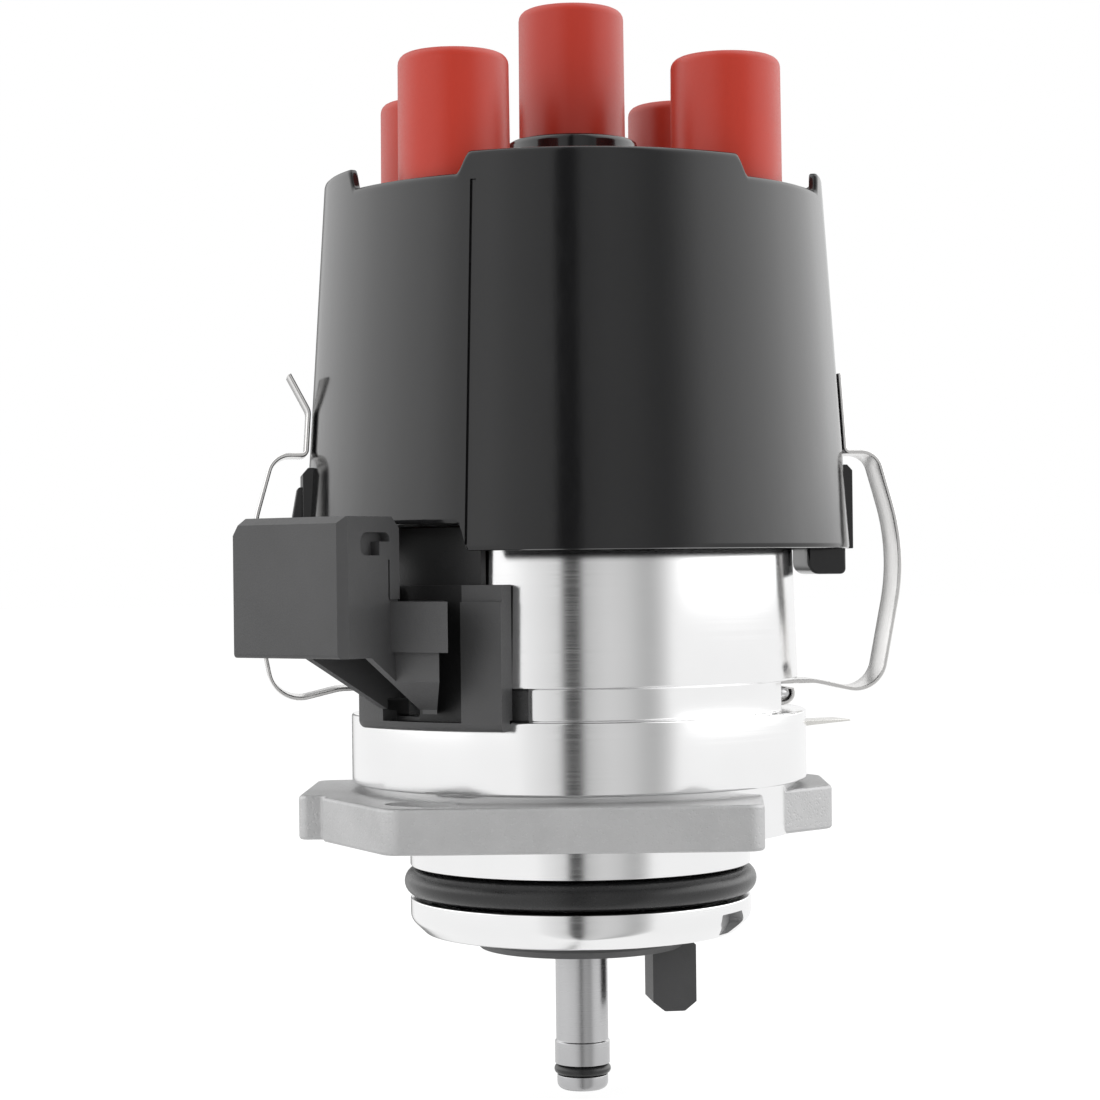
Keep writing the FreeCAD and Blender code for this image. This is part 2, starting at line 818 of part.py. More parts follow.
def make_shaft_seal():
    """The lip seal between the bushes that keeps engine oil out of the housing."""
    body = new_body("shaft_seal")
    base = RECESS_LEVEL + S.bush_length
    top = base + 6.0
    lip = S.shaft_radius + S.running_gap
    revolve(body, "section", [
        (lip + 1.8, base),
        (S.bush_radius, base),
        (S.bush_radius, top),
        (lip, top),
        (lip, top - 0.8),
        (S.bush_radius - 1.0, top - 1.6),
        (S.bush_radius - 1.0, base + 1.2),
        (lip + 1.8, base + 1.2),
    ])
    return body


# The shaft and what turns with it


def make_shaft():
    body = new_body("drive_shaft")
    r = S.shaft_radius
    end_r = S.shaft_end_radius
    tip = -S.shaft_tip
    step = tip + S.shaft_end_length
    groove = tip + S.tip_seal_height
    half = S.tip_seal_section / 2 + 0.1
    groove_floor = r - S.tip_seal_section + 0.35
    ring_floor = r - S.clip_ring_depth
    revolve(body, "section", [
        (0, tip),
        (r - 0.1, tip, 1.2),
        (r - 0.1, groove - half),
        (groove_floor, groove - half),
        (groove_floor, groove + half),
        (end_r, groove + half),
        (end_r, step - 0.2),
        (r, step),
        (r, CLIP_RING_BASE),
        (ring_floor, CLIP_RING_BASE),
        (ring_floor, CLIP_RING_BASE + S.clip_ring_thick),
        (r, CLIP_RING_BASE + S.clip_ring_thick),
        (r, SHAFT_TOP - 0.6),
        (r - 0.6, SHAFT_TOP),
        (0, SHAFT_TOP),
    ])
    cross = new_sketch(body, "pin_hole", "YZ_Plane")
    ring(cross, 0, (COUPLING_TOP - S.coupling_bottom) / 2, S.pin_radius)
    pocket(body, cross, 4 * r, both_ways=True)
    return body


def make_washer(label, base):
    body = new_body(label)
    revolve(body, "section", [
        (S.shaft_radius + S.running_gap, base),
        (S.washer_radius, base),
        (S.washer_radius, base + S.washer_thick),
        (S.shaft_radius + S.running_gap, base + S.washer_thick),
    ])
    return body


def make_retaining_ring():
    """The sprung ring in the shaft's groove, open at one side."""
    body = new_body("retaining_ring")
    inner = S.shaft_radius - S.clip_ring_depth
    revolve(body, "section", [
        (inner, CLIP_RING_BASE),
        (S.clip_ring_radius, CLIP_RING_BASE),
        (S.clip_ring_radius, CLIP_RING_BASE + S.clip_ring_thick),
        (inner, CLIP_RING_BASE + S.clip_ring_thick),
    ])
    mouth = new_sketch(body, "mouth", "XY_Plane", CLIP_RING_BASE)
    half = inner * 0.7
    rectangle(mouth, -half, -S.clip_ring_radius - 1.0, half, 0)
    pocket(body, mouth, S.clip_ring_thick, backwards=True)
    return body


def make_coupling():
    """The moulded drive disc with its single offset lug."""
    body = new_body("drive_coupling")
    bottom = -S.coupling_bottom
    r = S.coupling_radius
    revolve(body, "disc", [
        (S.shaft_radius, bottom),
        (r - 1.0, bottom),
        (r, bottom + 1.0),
        (r, COUPLING_TOP),
        (S.shaft_radius, COUPLING_TOP),
    ])
    lug = new_sketch(body, "lug", "XZ_Plane")
    low = -S.lug_bottom
    bevel = S.lug_bevel
    outline(lug, [
        (S.lug_inner, low + bevel * 0.8),
        (S.lug_inner + bevel, low, 0.6),
        (S.lug_outer - bevel, low, 0.6),
        (S.lug_outer, low + bevel * 0.8),
        (S.lug_outer, bottom),
        (r - 1.0, bottom + 1.2),
        (S.lug_inner, bottom + 1.2),
    ])
    pad(body, lug, 2 * S.lug_half_width, both_ways=True)
    doc.recompute()
    hole = new_sketch(body, "pin_hole", "YZ_Plane")
    ring(hole, 0, (COUPLING_TOP - S.coupling_bottom) / 2, S.pin_radius)
    pocket(body, hole, 4 * r, both_ways=True)
    return body


def make_coupling_pin():
    """The cross pin that locks the coupling to the shaft."""
    pin = doc.addObject("Part::Cylinder", "coupling_pin")
    pin.Label = "coupling_pin"
    reach = S.coupling_radius - 0.5
    pin.Placement = FreeCAD.Placement(Vector(), FreeCAD.Rotation(Vector(0, 1, 0), 90))
    bind(pin, "Radius", S.pin_radius)
    bind(pin, "Height", 2 * reach)
    bind(pin, ".Placement.Base.x", -reach)
    bind(pin, ".Placement.Base.z", (COUPLING_TOP - S.coupling_bottom) / 2)
    return pin


def make_shutter_wheel():
    """The pressed wheel whose vanes pass through the sender's gap."""
    body = new_body("shutter_wheel")
    sheet = S.wheel_sheet
    r = S.wheel_radius
    top = WHEEL_TOP
    base = CLIP_RING_BASE + S.clip_ring_thick
    bridge = sender_levels()[1]
    skirt = bridge + S.vane_gap
    revolve(body, "cup", [
        (S.shaft_radius, base),
        (S.wheel_hub_radius, base),
        (S.wheel_hub_radius, top - sheet),
        (r - sheet, top - sheet),
        (r - sheet, skirt),
        (r, skirt),
        (r, top, 0.8),
        (S.shaft_radius, top),
    ])
    window = new_sketch(body, "window", "XY_Plane", skirt)
    reach = r + 2.0
    half = S.window_sweep / 2
    inner = r - 2 * sheet
    outline(window, [
        (-inner * sine(half), -inner * cosine(half)),
        (-reach * sine(half), -reach * cosine(half)),
        (0, -reach * 1.1),
        (reach * sine(half), -reach * cosine(half)),
        (inner * sine(half), -inner * cosine(half)),
    ])
    cut = pocket(body, window, top - sheet - skirt, backwards=True)
    repeat_round(body, cut, S.vane_count)
    return body


def make_rotor():
    """The moulded rotor arm: a stepped hub, a tapering arm and a counterweight."""
    body = new_body("rotor_arm")
    r = S.rotor_hub_radius
    revolve(body, "hub", [
        (S.shaft_radius, ROTOR_BASE),
        (r, ROTOR_BASE),
        (r, ROTOR_BASE + 9.0),
        (r - 2.0, ROTOR_BASE + 12.0),
        (r - 2.0, ROTOR_TOP),
        (0, ROTOR_TOP),
        (0, SHAFT_TOP),
        (S.shaft_radius, SHAFT_TOP),
    ])
    arm = new_sketch(body, "arm", "XY_Plane", S.rotor_level)
    half = S.rotor_half_width
    tail = S.counterweight_radius
    outline(arm, [
        (ROTOR_REACH, -half * 0.7, 1.0),
        (ROTOR_REACH, half * 0.7, 1.0),
        (4.0, half * 1.4, 2.0),
        (-tail * 0.55, tail * 0.85, 3.0),
        (-tail, tail * 0.4, 2.0),
        (-tail, -tail * 0.4, 2.0),
        (-tail * 0.55, -tail * 0.85, 3.0),
        (4.0, -half * 1.4, 2.0),
    ])
    pad(body, arm, S.rotor_thick)
    trough = new_sketch(body, "trough", "XY_Plane", ROTOR_TOP)
    width = S.resistor_radius + S.side_gap
    rectangle(trough, 6.5, -width, 18.5, width)
    pocket(body, trough, 2 * width)
    return body


def make_rotor_resistor():
    """The suppression resistor that lies in the arm's trough."""
    body = new_body("rotor_resistor")
    sketch = new_sketch(body, "section", "YZ_Plane", 6.6)
    ring(sketch, 0, ROTOR_TOP - S.resistor_radius - 0.15, S.resistor_radius)
    pad(body, sketch, as_term(11.8))
    return body


def make_rotor_contact():
    """The brass plate that the carbon brush rubs on."""
    body = new_body("rotor_contact")
    revolve(body, "disc", [
        (0, ROTOR_TOP),
        (5.6, ROTOR_TOP),
        (5.6, ROTOR_TOP + S.contact_thick - 0.2),
        (5.4, ROTOR_TOP + S.contact_thick),
        (0, ROTOR_TOP + S.contact_thick),
    ])
    tongue = new_sketch(body, "tongue", "XY_Plane", ROTOR_TOP)
    rectangle(tongue, 3.0, -1.6, 9.0, 1.6)
    pad(body, tongue, S.contact_thick * 0.6)
    return body


def make_rotor_tip():
    """The brass electrode at the end of the arm, bent down over the edge that fires to the posts."""
    body = new_body("rotor_tip")
    top = ROTOR_TOP
    thick = S.contact_thick
    profile = new_sketch(body, "profile", "XZ_Plane")
    outline(profile, [
        (16.5, top),
        (ROTOR_REACH, top),
        (ROTOR_REACH, S.rotor_level + 0.5),
        (ROTOR_TIP_RADIUS, S.rotor_level + 0.5),
        (ROTOR_TIP_RADIUS, top + thick, 0.5),
        (16.5, top + thick),
    ])
    pad(body, profile, S.rotor_half_width, both_ways=True)
    return body


# The Hall sender, its plate, its lead and the connector


def make_hall_plate():
    body = new_body("sender_plate")
    sketch = new_sketch(body, "outline", "XY_Plane", S.plate_level)
    ring(sketch, 0, 0, S.plate_cavity_radius - S.side_gap)
    ring(sketch, 0, 0, S.plate_bore)
    for turn in (0, 180):
        azimuth = S.screw_azimuth + turn
        ring(sketch, S.screw_circle * sine(azimuth), -(S.screw_circle * cosine(azimuth)), S.screw_radius + 0.1)
    azimuth = S.sender_azimuth
    ring(sketch, LEAD_PLACE * sine(azimuth), -(LEAD_PLACE * cosine(azimuth)), S.lead_radius + S.side_gap)
    pad(body, sketch, S.plate_thick)
    return body


def make_plate_screw(label, turn):
    """One of the two pan-head screws of the sender plate."""
    body = new_body(label)
    base = S.plate_level - S.screw_length + 0.5
    seat = S.plate_level + S.plate_thick
    head = seat + S.screw_head_height
    revolve(body, "section", [
        (0, base),
        (S.screw_radius - 0.3, base),
        (S.screw_radius, base + 0.3),
        (S.screw_radius, seat),
        (S.screw_head_radius, seat),
        (S.screw_head_radius, head - 0.5),
        (S.screw_head_radius - 0.7, head),
        (0, head),
    ])
    azimuth = S.screw_azimuth + turn
    bind(body, ".Placement.Base.x", S.screw_circle * sine(azimuth))
    bind(body, ".Placement.Base.y", -(S.screw_circle * cosine(azimuth)))
    return body


def sender_levels():
    """Bottom, bridge top and head of the sender block."""
    bottom = S.plate_level + S.plate_thick
    bridge = bottom + S.block_bridge
    head = WHEEL_TOP - S.wheel_sheet - S.air_gap
    return bottom, bridge, head


def make_hall_sensor():
    """The U-shaped sender block that straddles the vanes."""
    body = new_body("hall_sender")
    bottom, bridge, head = sender_levels()
    vane_inner = S.wheel_radius - S.wheel_sheet - S.air_gap
    vane_outer = S.wheel_radius + S.air_gap + S.magnet_thick
    sketch = new_sketch(body, "profile", "XZ_Plane")
    outline(sketch, [
        (S.block_inner, bottom),
        (S.block_outer, bottom),
        (S.block_outer, head),
        (vane_outer, head),
        (vane_outer, bridge),
        (vane_inner, bridge),
        (vane_inner, head),
        (S.block_inner + 1.5, head),
        (S.block_inner, head - 1.5),
    ])
    pad(body, sketch, 1.4 * S.block_half_width, both_ways=True)
    socket = new_sketch(body, "lead_socket", "XY_Plane", bottom)
    ring(socket, LEAD_PLACE, 0, S.lead_radius + S.side_gap)
    pocket(body, socket, S.block_bridge / 2, backwards=True)
    turn_about_axis(body, S.sender_azimuth - 90)
    return body


def make_hall_magnet():
    """The small magnet that faces the sender across the vanes."""
    body = new_body("sender_magnet")
    bottom, bridge, head = sender_levels()
    sketch = new_sketch(body, "profile", "XZ_Plane")
    near = S.wheel_radius + S.air_gap
    rectangle(sketch, near, bridge + 1.0, near + S.magnet_thick, head - 0.5)
    pad(body, sketch, S.block_half_width, both_ways=True)
    turn_about_axis(body, S.sender_azimuth - 90)
    return body


def make_sender_lead():
    """The sheathed lead from the sender block down and out through the wall."""
    body = new_body("sender_lead")
    start = LEAD_PLACE
    top = S.plate_level + S.plate_thick + S.block_bridge / 2
    end = S.barrel_radius - S.side_gap
    path = new_sketch(body, "path", "XZ_Plane")
    open_path(path, [(start, top), (start, EYE_LEVEL, S.lead_bend), (end, EYE_LEVEL)])
    profile = new_sketch(body, "profile", "XY_Plane", top)
    ring(profile, start, 0, S.lead_radius)
    pipe(body, "sheath", path, profile)
    turn_about_axis(body, S.sender_azimuth - 90)
    return body


def make_lead_grommet():
    """The rubber strip in the band that seals the lead's hole."""
    body = new_body("lead_grommet")
    middle = (S.grommet_start + S.grommet_end) / 2
    revolve(body, "section", [
        (S.band_radius, S.skirt_top),
        (S.grommet_rim, S.skirt_top, 0.4),
        (S.grommet_rim, BAND_TOP, 0.4),
        (S.band_radius, BAND_TOP),
    ], sweep=S.grommet_end - S.grommet_start)
    sketch = radial_sketch(body, "lead_hole", 90 + S.sender_azimuth - middle, S.band_radius - 1.0)
    ring(sketch, 0, EYE_LEVEL, S.lead_radius + S.side_gap)
    pocket(body, sketch, S.grommet_rim - S.band_radius + 2.0, backwards=True)
    turn_about_axis(body, middle - 90)
    return body


def make_connector():
    """The moulded connector: a recessed foot with a neck, a slanted arm, ribs and the open socket."""
    body = new_body("connector_housing")
    inner = S.barrel_radius
    lip = S.skirt_radius
    step = S.foot_top - S.foot_step
    revolve(body, "foot", [
        (lip, S.foot_bottom),
        (FOOT_OUTER, S.foot_bottom, 1.2),
        (FOOT_OUTER, step),
        (FOOT_OUTER - 0.5, step),
        (FOOT_OUTER - 0.5, S.foot_top),
        (inner, S.foot_top),
        (inner, S.skirt_top + 0.3),
        (lip, S.skirt_top + 0.3),
    ], sweep=S.foot_sweep)
    floor = inner + S.recess_stand
    groove(body, "recess", [
        (floor, S.recess_low),
        (FOOT_OUTER + 1.0, S.recess_low),
        (FOOT_OUTER + 1.0, S.foot_top + 1.0),
        (floor, S.foot_top + 1.0),
    ], S.recess_sweep)
    revolve(body, "neck", [
        (inner, S.foot_top - 1.0),
        (inner + S.neck_stand, S.foot_top - 1.0),
        (inner + S.neck_stand, S.neck_top),
        (inner, S.neck_top),
    ], sweep=S.neck_sweep)
    add_arm(body)
    add_ribs(body)
    add_socket(body)
    cut_latch(body)
    window = radial_sketch(body, "window", 90 + S.window_azimuth, lip - 2.0)
    half = S.window_half_width
    outline(window, [
        (-half, S.window_low, 0.4),
        (half, S.window_low, 0.4),
        (half, S.window_top, 0.4),
        (-half, S.window_top, 0.4),
    ])
    pocket(body, window, S.foot_stand + 1.0, backwards=True)
    turn_about_axis(body, S.connector_azimuth - 90)
    return body


def add_arm(body):
    """The arm from the foot to the socket and the web below it, slanted at their open side."""
    root = S.barrel_radius + 1.2
    for name, low, high, outer, end in (
        ("arm", S.arm_bottom, S.arm_top, SOCKET_INNER + S.arm_lap, S.arm_end),
        ("web", S.gusset_low - 0.6, S.arm_bottom + 1.0, SOCKET_INNER + S.arm_lap / 2, S.arm_end - 2.4),
    ):
        near = S.gusset_far if name == "arm" else S.socket_back - S.rib_thick / 2
        heel = end - (outer - root) * 0.75
        sketch = new_sketch(body, name, "XY_Plane", low)
        outline(sketch, [
            (root, near),
            (outer, near),
            (outer, end),
            (root + 1.6, heel),
            (root, heel),
        ])
        pad(body, sketch, high - low)
    doc.recompute()
    slope = new_sketch(body, "web_slope", "XZ_Plane", -(S.socket_back - S.rib_thick))
    outer = SOCKET_INNER + S.arm_lap + 1.0
    rise = (S.socket_bottom - S.gusset_low) / (SOCKET_OUTER - 5.8 - FOOT_OUTER)
    outline(slope, [
        (FOOT_OUTER, S.gusset_low - 1.0),
        (outer, S.gusset_low - 1.0),
        (outer, S.gusset_low + rise * (outer - FOOT_OUTER)),
        (FOOT_OUTER, S.gusset_low),
    ])
    pocket(body, slope, S.arm_end)


def add_ribs(body):
    """The two thin ribs that carry the socket's floor, with a hollow between them."""
    root = S.barrel_radius + 1.2
    for name, near, reach in (
        ("left", S.gusset_far, SOCKET_OUTER - 1.6),
        ("right", S.socket_back - S.rib_thick, SOCKET_OUTER - 5.8),
    ):
        sketch = new_sketch(body, f"{name}_rib", "XZ_Plane", -near)
        outline(sketch, [
            (root, S.gusset_low - 0.6),
            (FOOT_OUTER, S.gusset_low),
            (reach, S.socket_bottom),
            (reach, S.socket_bottom + 1.0),
            (root, S.socket_bottom + 1.0),
        ])
        pad(body, sketch, S.rib_thick, backwards=True)


def add_socket(body):
    """The socket's box with its bevelled corners, hollow from the mouth."""
    shell = new_sketch(body, "shell", "XZ_Plane", -S.socket_back)
    bevel = S.socket_bevel
    outline(shell, [
        (SOCKET_INNER, S.socket_bottom),
        (SOCKET_OUTER, S.socket_bottom, 0.6),
        (SOCKET_OUTER, S.socket_top - bevel * 0.6),
        (SOCKET_OUTER - bevel * 0.6, S.socket_top),
        (SOCKET_INNER + bevel, S.socket_top),
        (SOCKET_INNER, S.socket_top - bevel),
    ])
    pad(body, shell, S.socket_back - S.socket_mouth)
    cavity = new_sketch(body, "cavity", "XZ_Plane", -S.socket_mouth)
    wall = S.socket_wall
    outline(cavity, [
        (SOCKET_INNER + wall, S.socket_bottom + wall, 0.8),
        (SOCKET_OUTER - wall, S.socket_bottom + wall, 0.8),
        (SOCKET_OUTER - wall, S.socket_top - wall, 0.8),
        (SOCKET_INNER + wall, S.socket_top - wall, 0.8),
    ])
    pocket(body, cavity, S.socket_back - S.socket_mouth - S.socket_floor)
    edge = S.socket_edge
    back = S.socket_back
    corner = new_sketch(body, "corner", "XY_Plane", S.socket_bottom - 1.0)
    outline(corner, [
        (SOCKET_OUTER, back - edge),
        (SOCKET_OUTER + 1.0, back - edge),
        (SOCKET_OUTER + 1.0, back + 1.0),
        (SOCKET_OUTER - edge, back + 1.0),
        (SOCKET_OUTER - edge, back),
    ])
    pocket(body, corner, S.socket_top - S.socket_bottom + 2.0, backwards=True)
    brow = new_sketch(body, "brow", "YZ_Plane", SOCKET_INNER - 1.0)
    outline(brow, [
        (S.socket_mouth - 1.0, S.socket_top - bevel * 1.5),
        (S.socket_mouth, S.socket_top - bevel * 1.5),
        (S.socket_mouth + bevel, S.socket_top),
        (S.socket_mouth + bevel, S.socket_top + 1.0),
        (S.socket_mouth - 1.0, S.socket_top + 1.0),
    ])
    pocket(body, brow, S.socket_width + 2.0, backwards=True)


def cut_latch(body):
    """The latch opening in the socket's back, left solid at one corner, and the seam below it."""
    middle = SOCKET_INNER + S.socket_width * 0.43
    half = S.latch_half_width
    top = S.socket_top - S.latch_drop
    low = top - S.latch_height
    latch = new_sketch(body, "latch", "XZ_Plane", -S.socket_back)
    outline(latch, [
        (middle - half * 0.3, low),
        (middle + half, low, 1.2),
        (middle + half, top, 1.4),
        (middle - half, top, 1.0),
        (middle - half, low + S.latch_height * 0.6),
        (middle - half * 0.3, low + S.latch_height * 0.6),
    ])
    pocket(body, latch, S.latch_depth, backwards=True)
    seam = new_sketch(body, "latch_seam", "XZ_Plane", -S.socket_back)
    line = 0.35
    outline(seam, [
        (SOCKET_INNER - 1.0, S.arm_top),
        (middle - half + line, S.arm_top),
        (middle - half + line, low - 0.6),
        (middle - half, low - 0.6),
        (middle - half, S.arm_top + line),
        (SOCKET_INNER - 1.0, S.arm_top + line),
    ])
    pocket(body, seam, as_term(line), backwards=True)


def make_blade(label, step):
    """One of the three contact blades in the socket."""
    body = new_body(label)
    middle = (SOCKET_INNER + SOCKET_OUTER) / 2
    level = (S.socket_bottom + S.socket_top) / 2 + step * S.blade_pitch
    floor = S.socket_back - S.socket_floor
    half = S.blade_width / 2
    tip = floor - S.blade_length
    sketch = new_sketch(body, "outline", "XY_Plane", level - S.blade_thick / 2)
    outline(sketch, [
        (middle - half * 0.5, tip),
        (middle + half * 0.5, tip),
        (middle + half, tip + 1.2),
        (middle + half, floor),
        (middle - half, floor),
        (middle - half, tip + 1.2),
    ])
    pad(body, sketch, S.blade_thick)
    turn_about_axis(body, S.connector_azimuth - 90)
    return body


def make_dust_cover():
    """The moulded disc that keeps the sender chamber clear of the spark chamber."""
    body = new_body("dust_cover")
    top = S.cover_level + S.cover_thick
    revolve(body, "section", [
        (S.cover_bore, S.cover_level),
        (S.cover_cavity_radius - S.side_gap, S.cover_level),
        (S.cover_cavity_radius - S.side_gap, top),
        (S.cover_bore + 1.4, top),
        (S.cover_bore + 1.4, top + 1.2),
        (S.cover_bore, top + 1.2),
    ])
    return body


# The cap, its contacts, the brush and the shield


def tower_places():
    """Plan places of the four outer towers, on the diagonals."""
    reach = TOWER_CIRCLE * cosine(45)
    return [(x * reach, y * reach) for x in (-1, 1) for y in (-1, 1)]


def make_cap():
    """The moulded cap: a bowl on the housing's rim with four outer towers and a centre tower."""
    body = new_body("distributor_cap")
    spigot = S.cover_cavity_radius - S.spigot_gap
    top = S.cap_roof_top
    wall = S.cap_wall
    foot = S.barrel_top
    cover_top = S.cover_level + S.cover_thick
    revolve(body, "bowl", [
        (0, CAP_ROOF_BASE),
        (CAP_TOP_RADIUS - wall, CAP_ROOF_BASE, 3.0),
        (CAP_RADIUS - wall - 1.4, foot + 4.0),
        (spigot - 2.0, foot + 2.0),
        (spigot - 2.0, foot - S.cap_spigot),
        (spigot, foot - S.cap_spigot),
        (spigot, foot),
        (CAP_RADIUS - 0.6, foot),
        (CAP_RADIUS, foot + 0.6),
        (CAP_TOP_RADIUS, top, 1.0),
        (0, top),
    ])
    towers = new_sketch(body, "towers", "XY_Plane", top)
    for x, y in tower_places():
        ring(towers, x, y, S.tower_radius)
    pad(body, towers, S.tower_top - top)
    centre = new_sketch(body, "centre_tower", "XY_Plane", top)
    ring(centre, 0, 0, S.tower_radius)
    pad(body, centre, S.centre_tower_top - top)
    bosses = new_sketch(body, "bosses", "XY_Plane", POST_BOSS_BASE)
    for x, y in tower_places():
        ring(bosses, x, y, S.post_boss_radius)
    pad(body, bosses, CAP_ROOF_BASE - POST_BOSS_BASE + 1.0)
    boss = new_sketch(body, "brush_boss", "XY_Plane", BRUSH_BOSS_BASE)
    ring(boss, 0, 0, S.brush_boss_radius)
    pad(body, boss, CAP_ROOF_BASE - BRUSH_BOSS_BASE + 1.0)
    doc.recompute()
    round_tower_tops(body)
    cut_tower_bores(body)
    return body


def round_tower_tops(body):
    """Round the outer edge of each tower's mouth."""
    edges = []
    for index, edge in enumerate(body.Shape.Edges, start=1):
        flat = edge.BoundBox.ZLength < 1e-6
        level = edge.BoundBox.ZMin
        tops = (S.tower_top.value, S.centre_tower_top.value)
        if flat and any(abs(level - top) < 1e-6 for top in tops):
            edges.append(f"Edge{index}")
    towers = body.Tip
    item = body.newObject("PartDesign::Fillet", "tower_tops")
    item.Base = (towers, edges)
    bind(item, "Radius", S.tower_round)
    doc.recompute()


def cut_tower_bores(body):
    """The lead bores, the cup seats below them and the holes for the posts and the brush."""
    for name, top, places in (
        ("outer", S.tower_top, tower_places()),
        ("centre", S.centre_tower_top, [(as_term(0), as_term(0))]),
    ):
        steps = (
            ("bore", top, S.lead_bore, S.lead_depth),
            ("seat", top - S.lead_depth, S.cup_radius, S.cup_depth),
        )
        for step, level, radius, depth in steps:
            sketch = new_sketch(body, f"{name}_{step}", "XY_Plane", level)
            for x, y in places:
                ring(sketch, x, y, radius)
            pocket(body, sketch, depth)
    posts = new_sketch(body, "post_holes", "XY_Plane", POST_BOSS_BASE)
    for x, y in tower_places():
        ring(posts, x, y, S.post_radius)
    pocket(body, posts, S.tower_top - S.lead_depth - S.cup_depth - POST_BOSS_BASE, backwards=True)
    guide = new_sketch(body, "brush_guide", "XY_Plane", BRUSH_BOSS_BASE)
    ring(guide, 0, 0, S.brush_radius + S.brush_gap)
    length = S.centre_tower_top - S.lead_depth - S.cup_depth - BRUSH_BOSS_BASE
    pocket(body, guide, length, backwards=True)


def make_terminal(label, place, top, post_radius, post_base):
    """A contact: the cup that grips the lead and the post below it."""
    body = new_body(label)
    seat = top - S.lead_depth - S.cup_depth
    rim = top - S.lead_depth
    revolve(body, "section", [
        (0, post_base),
        (post_radius - 0.3, post_base),
        (post_radius, post_base + 0.3),
        (post_radius, seat),
        (S.cup_radius, seat),
        (S.cup_radius, rim),
        (S.cup_radius - S.cup_wall, rim),
        (S.cup_radius - S.cup_wall, seat + 1.0),
        (0, seat + 1.0),
    ])
    bind(body, ".Placement.Base.x", place[0])
    bind(body, ".Placement.Base.y", place[1])
    return body


def make_brush():
    """The carbon brush that runs on the rotor's contact, domed at the rubbing end."""
    body = new_body("carbon_brush")
    r = S.brush_radius
    revolve(body, "section", [
        (0, BRUSH_BASE),
        (r * 0.6, BRUSH_BASE),
        (r, BRUSH_BASE + 0.8),
        (r, BRUSH_TOP),
        (0, BRUSH_TOP),
    ])
    return body


def make_brush_spring():
    """The brush's coil spring as the tube that its turns fill."""
    body = new_body("brush_spring")
    r = S.brush_radius - 0.2
    revolve(body, "section", [
        (r - 2 * S.spring_wire, BRUSH_TOP + 0.05),
        (r, BRUSH_TOP + 0.05),
        (r, CENTRE_POST_BASE),
        (r - 2 * S.spring_wire, CENTRE_POST_BASE),
    ])
    return body


def make_shield():
    """The tapered screening shell: roof, raised centre boss, dipped rim, notch, pads and tab."""
    body = new_body("cap_shield")
    wall = S.shield_wall
    rim = S.shield_rim
    rim_wall = S.shield_rim_wall
    base = S.cap_roof_top
    roof = base + S.shield_roof
    bottom = S.shield_bottom
    hole = S.tower_radius + S.tower_gap
    boss = S.shield_boss_radius
    revolve(body, "section", [
        (S.shield_radius - wall, bottom),
        (S.shield_radius - 0.3, bottom),
        (S.shield_radius, bottom + 0.3),
        (SHIELD_TOP_RADIUS, rim, 0.7),
        (SHIELD_TOP_RADIUS - rim_wall, rim, 0.3),
        (shield_radius_at(roof) - rim_wall, roof, 0.8),
        (boss, roof, 0.8),
        (boss, S.shield_boss_top, 0.8),
        (hole, S.shield_boss_top, 0.3),
        (hole, base),
        (shield_radius_at(base) - rim_wall, base),
        (S.shield_radius - wall, bottom + 12.0),
    ])
    holes = new_sketch(body, "tower_holes", "XY_Plane", base)
    for x, y in tower_places():
        ring(holes, x, y, S.tower_radius + S.tower_gap)
    pocket(body, holes, S.shield_roof, backwards=True)
    for side in (-1, 1):
        for front in (0, 180):
            cut_rim_dip(body, side, front)
        add_clip_pad(body, side)
    add_side_boss(body)
    cut_seam(body)
    cut_connector_notch(body)
    add_stop_tab(body)
    return body


def cut_rim_dip(body, side, front):
    """Lower the rim in front of one outer tower, with rounded corners."""
    azimuth = side * S.dip_azimuth + front
    name = f"dip_{'right' if side > 0 else 'left'}_{'rear' if front else 'front'}"
    sketch = radial_sketch(body, name, azimuth, SHIELD_TOP_RADIUS - 12.0)
    half = S.dip_half_width
    rim = S.shield_rim
    low = S.shield_low_rim
    outline(sketch, [
        (-half, low, 1.4),
        (half, low, 1.4),
        (half, rim, 1.4),
        (half + 4.0, rim),
        (half + 4.0, rim + 3.0),
        (-half - 4.0, rim + 3.0),
        (-half - 4.0, rim),
        (-half, rim, 1.4),
    ])
    pocket(body, sketch, as_term(20.0), backwards=True)


def add_clip_pad(body, side):
    """The raised catch that a clip's hook bears on."""
    sketch = new_sketch(body, f"pad_{'right' if side > 0 else 'left'}", "XZ_Plane")
    top = S.pad_top
    low = S.shield_bottom
    face = shield_radius_at(top) + S.pad_stand
    points = [
        (shield_radius_at(low) - 1.0, low),
        (face, low),
        (face, top - 0.9),
        (face - 0.8, top),
        (shield_radius_at(top) - 1.0, top),
    ]
    if side < 0:
        points = [(-x, y) for x, y in reversed(points)]
    outline(sketch, points)
    pad(body, sketch, 2 * S.pad_half_width, both_ways=True)


def add_side_boss(body):
    """The small wedge on the left catch, wider towards its foot."""
    sketch = new_sketch(body, "side_boss", "XZ_Plane")
    top = S.boss_top
    low = S.boss_low
    outline(sketch, [
        (-shield_radius_at(low) + 1.0, low),
        (-shield_radius_at(top) + 1.0, top),
        (-shield_radius_at(top) - S.boss_stand * 0.7, top, 0.5),
        (-shield_radius_at(low) - S.boss_stand, low, 0.3),
    ])
    pad(body, sketch, 2 * S.boss_half_width, both_ways=True)


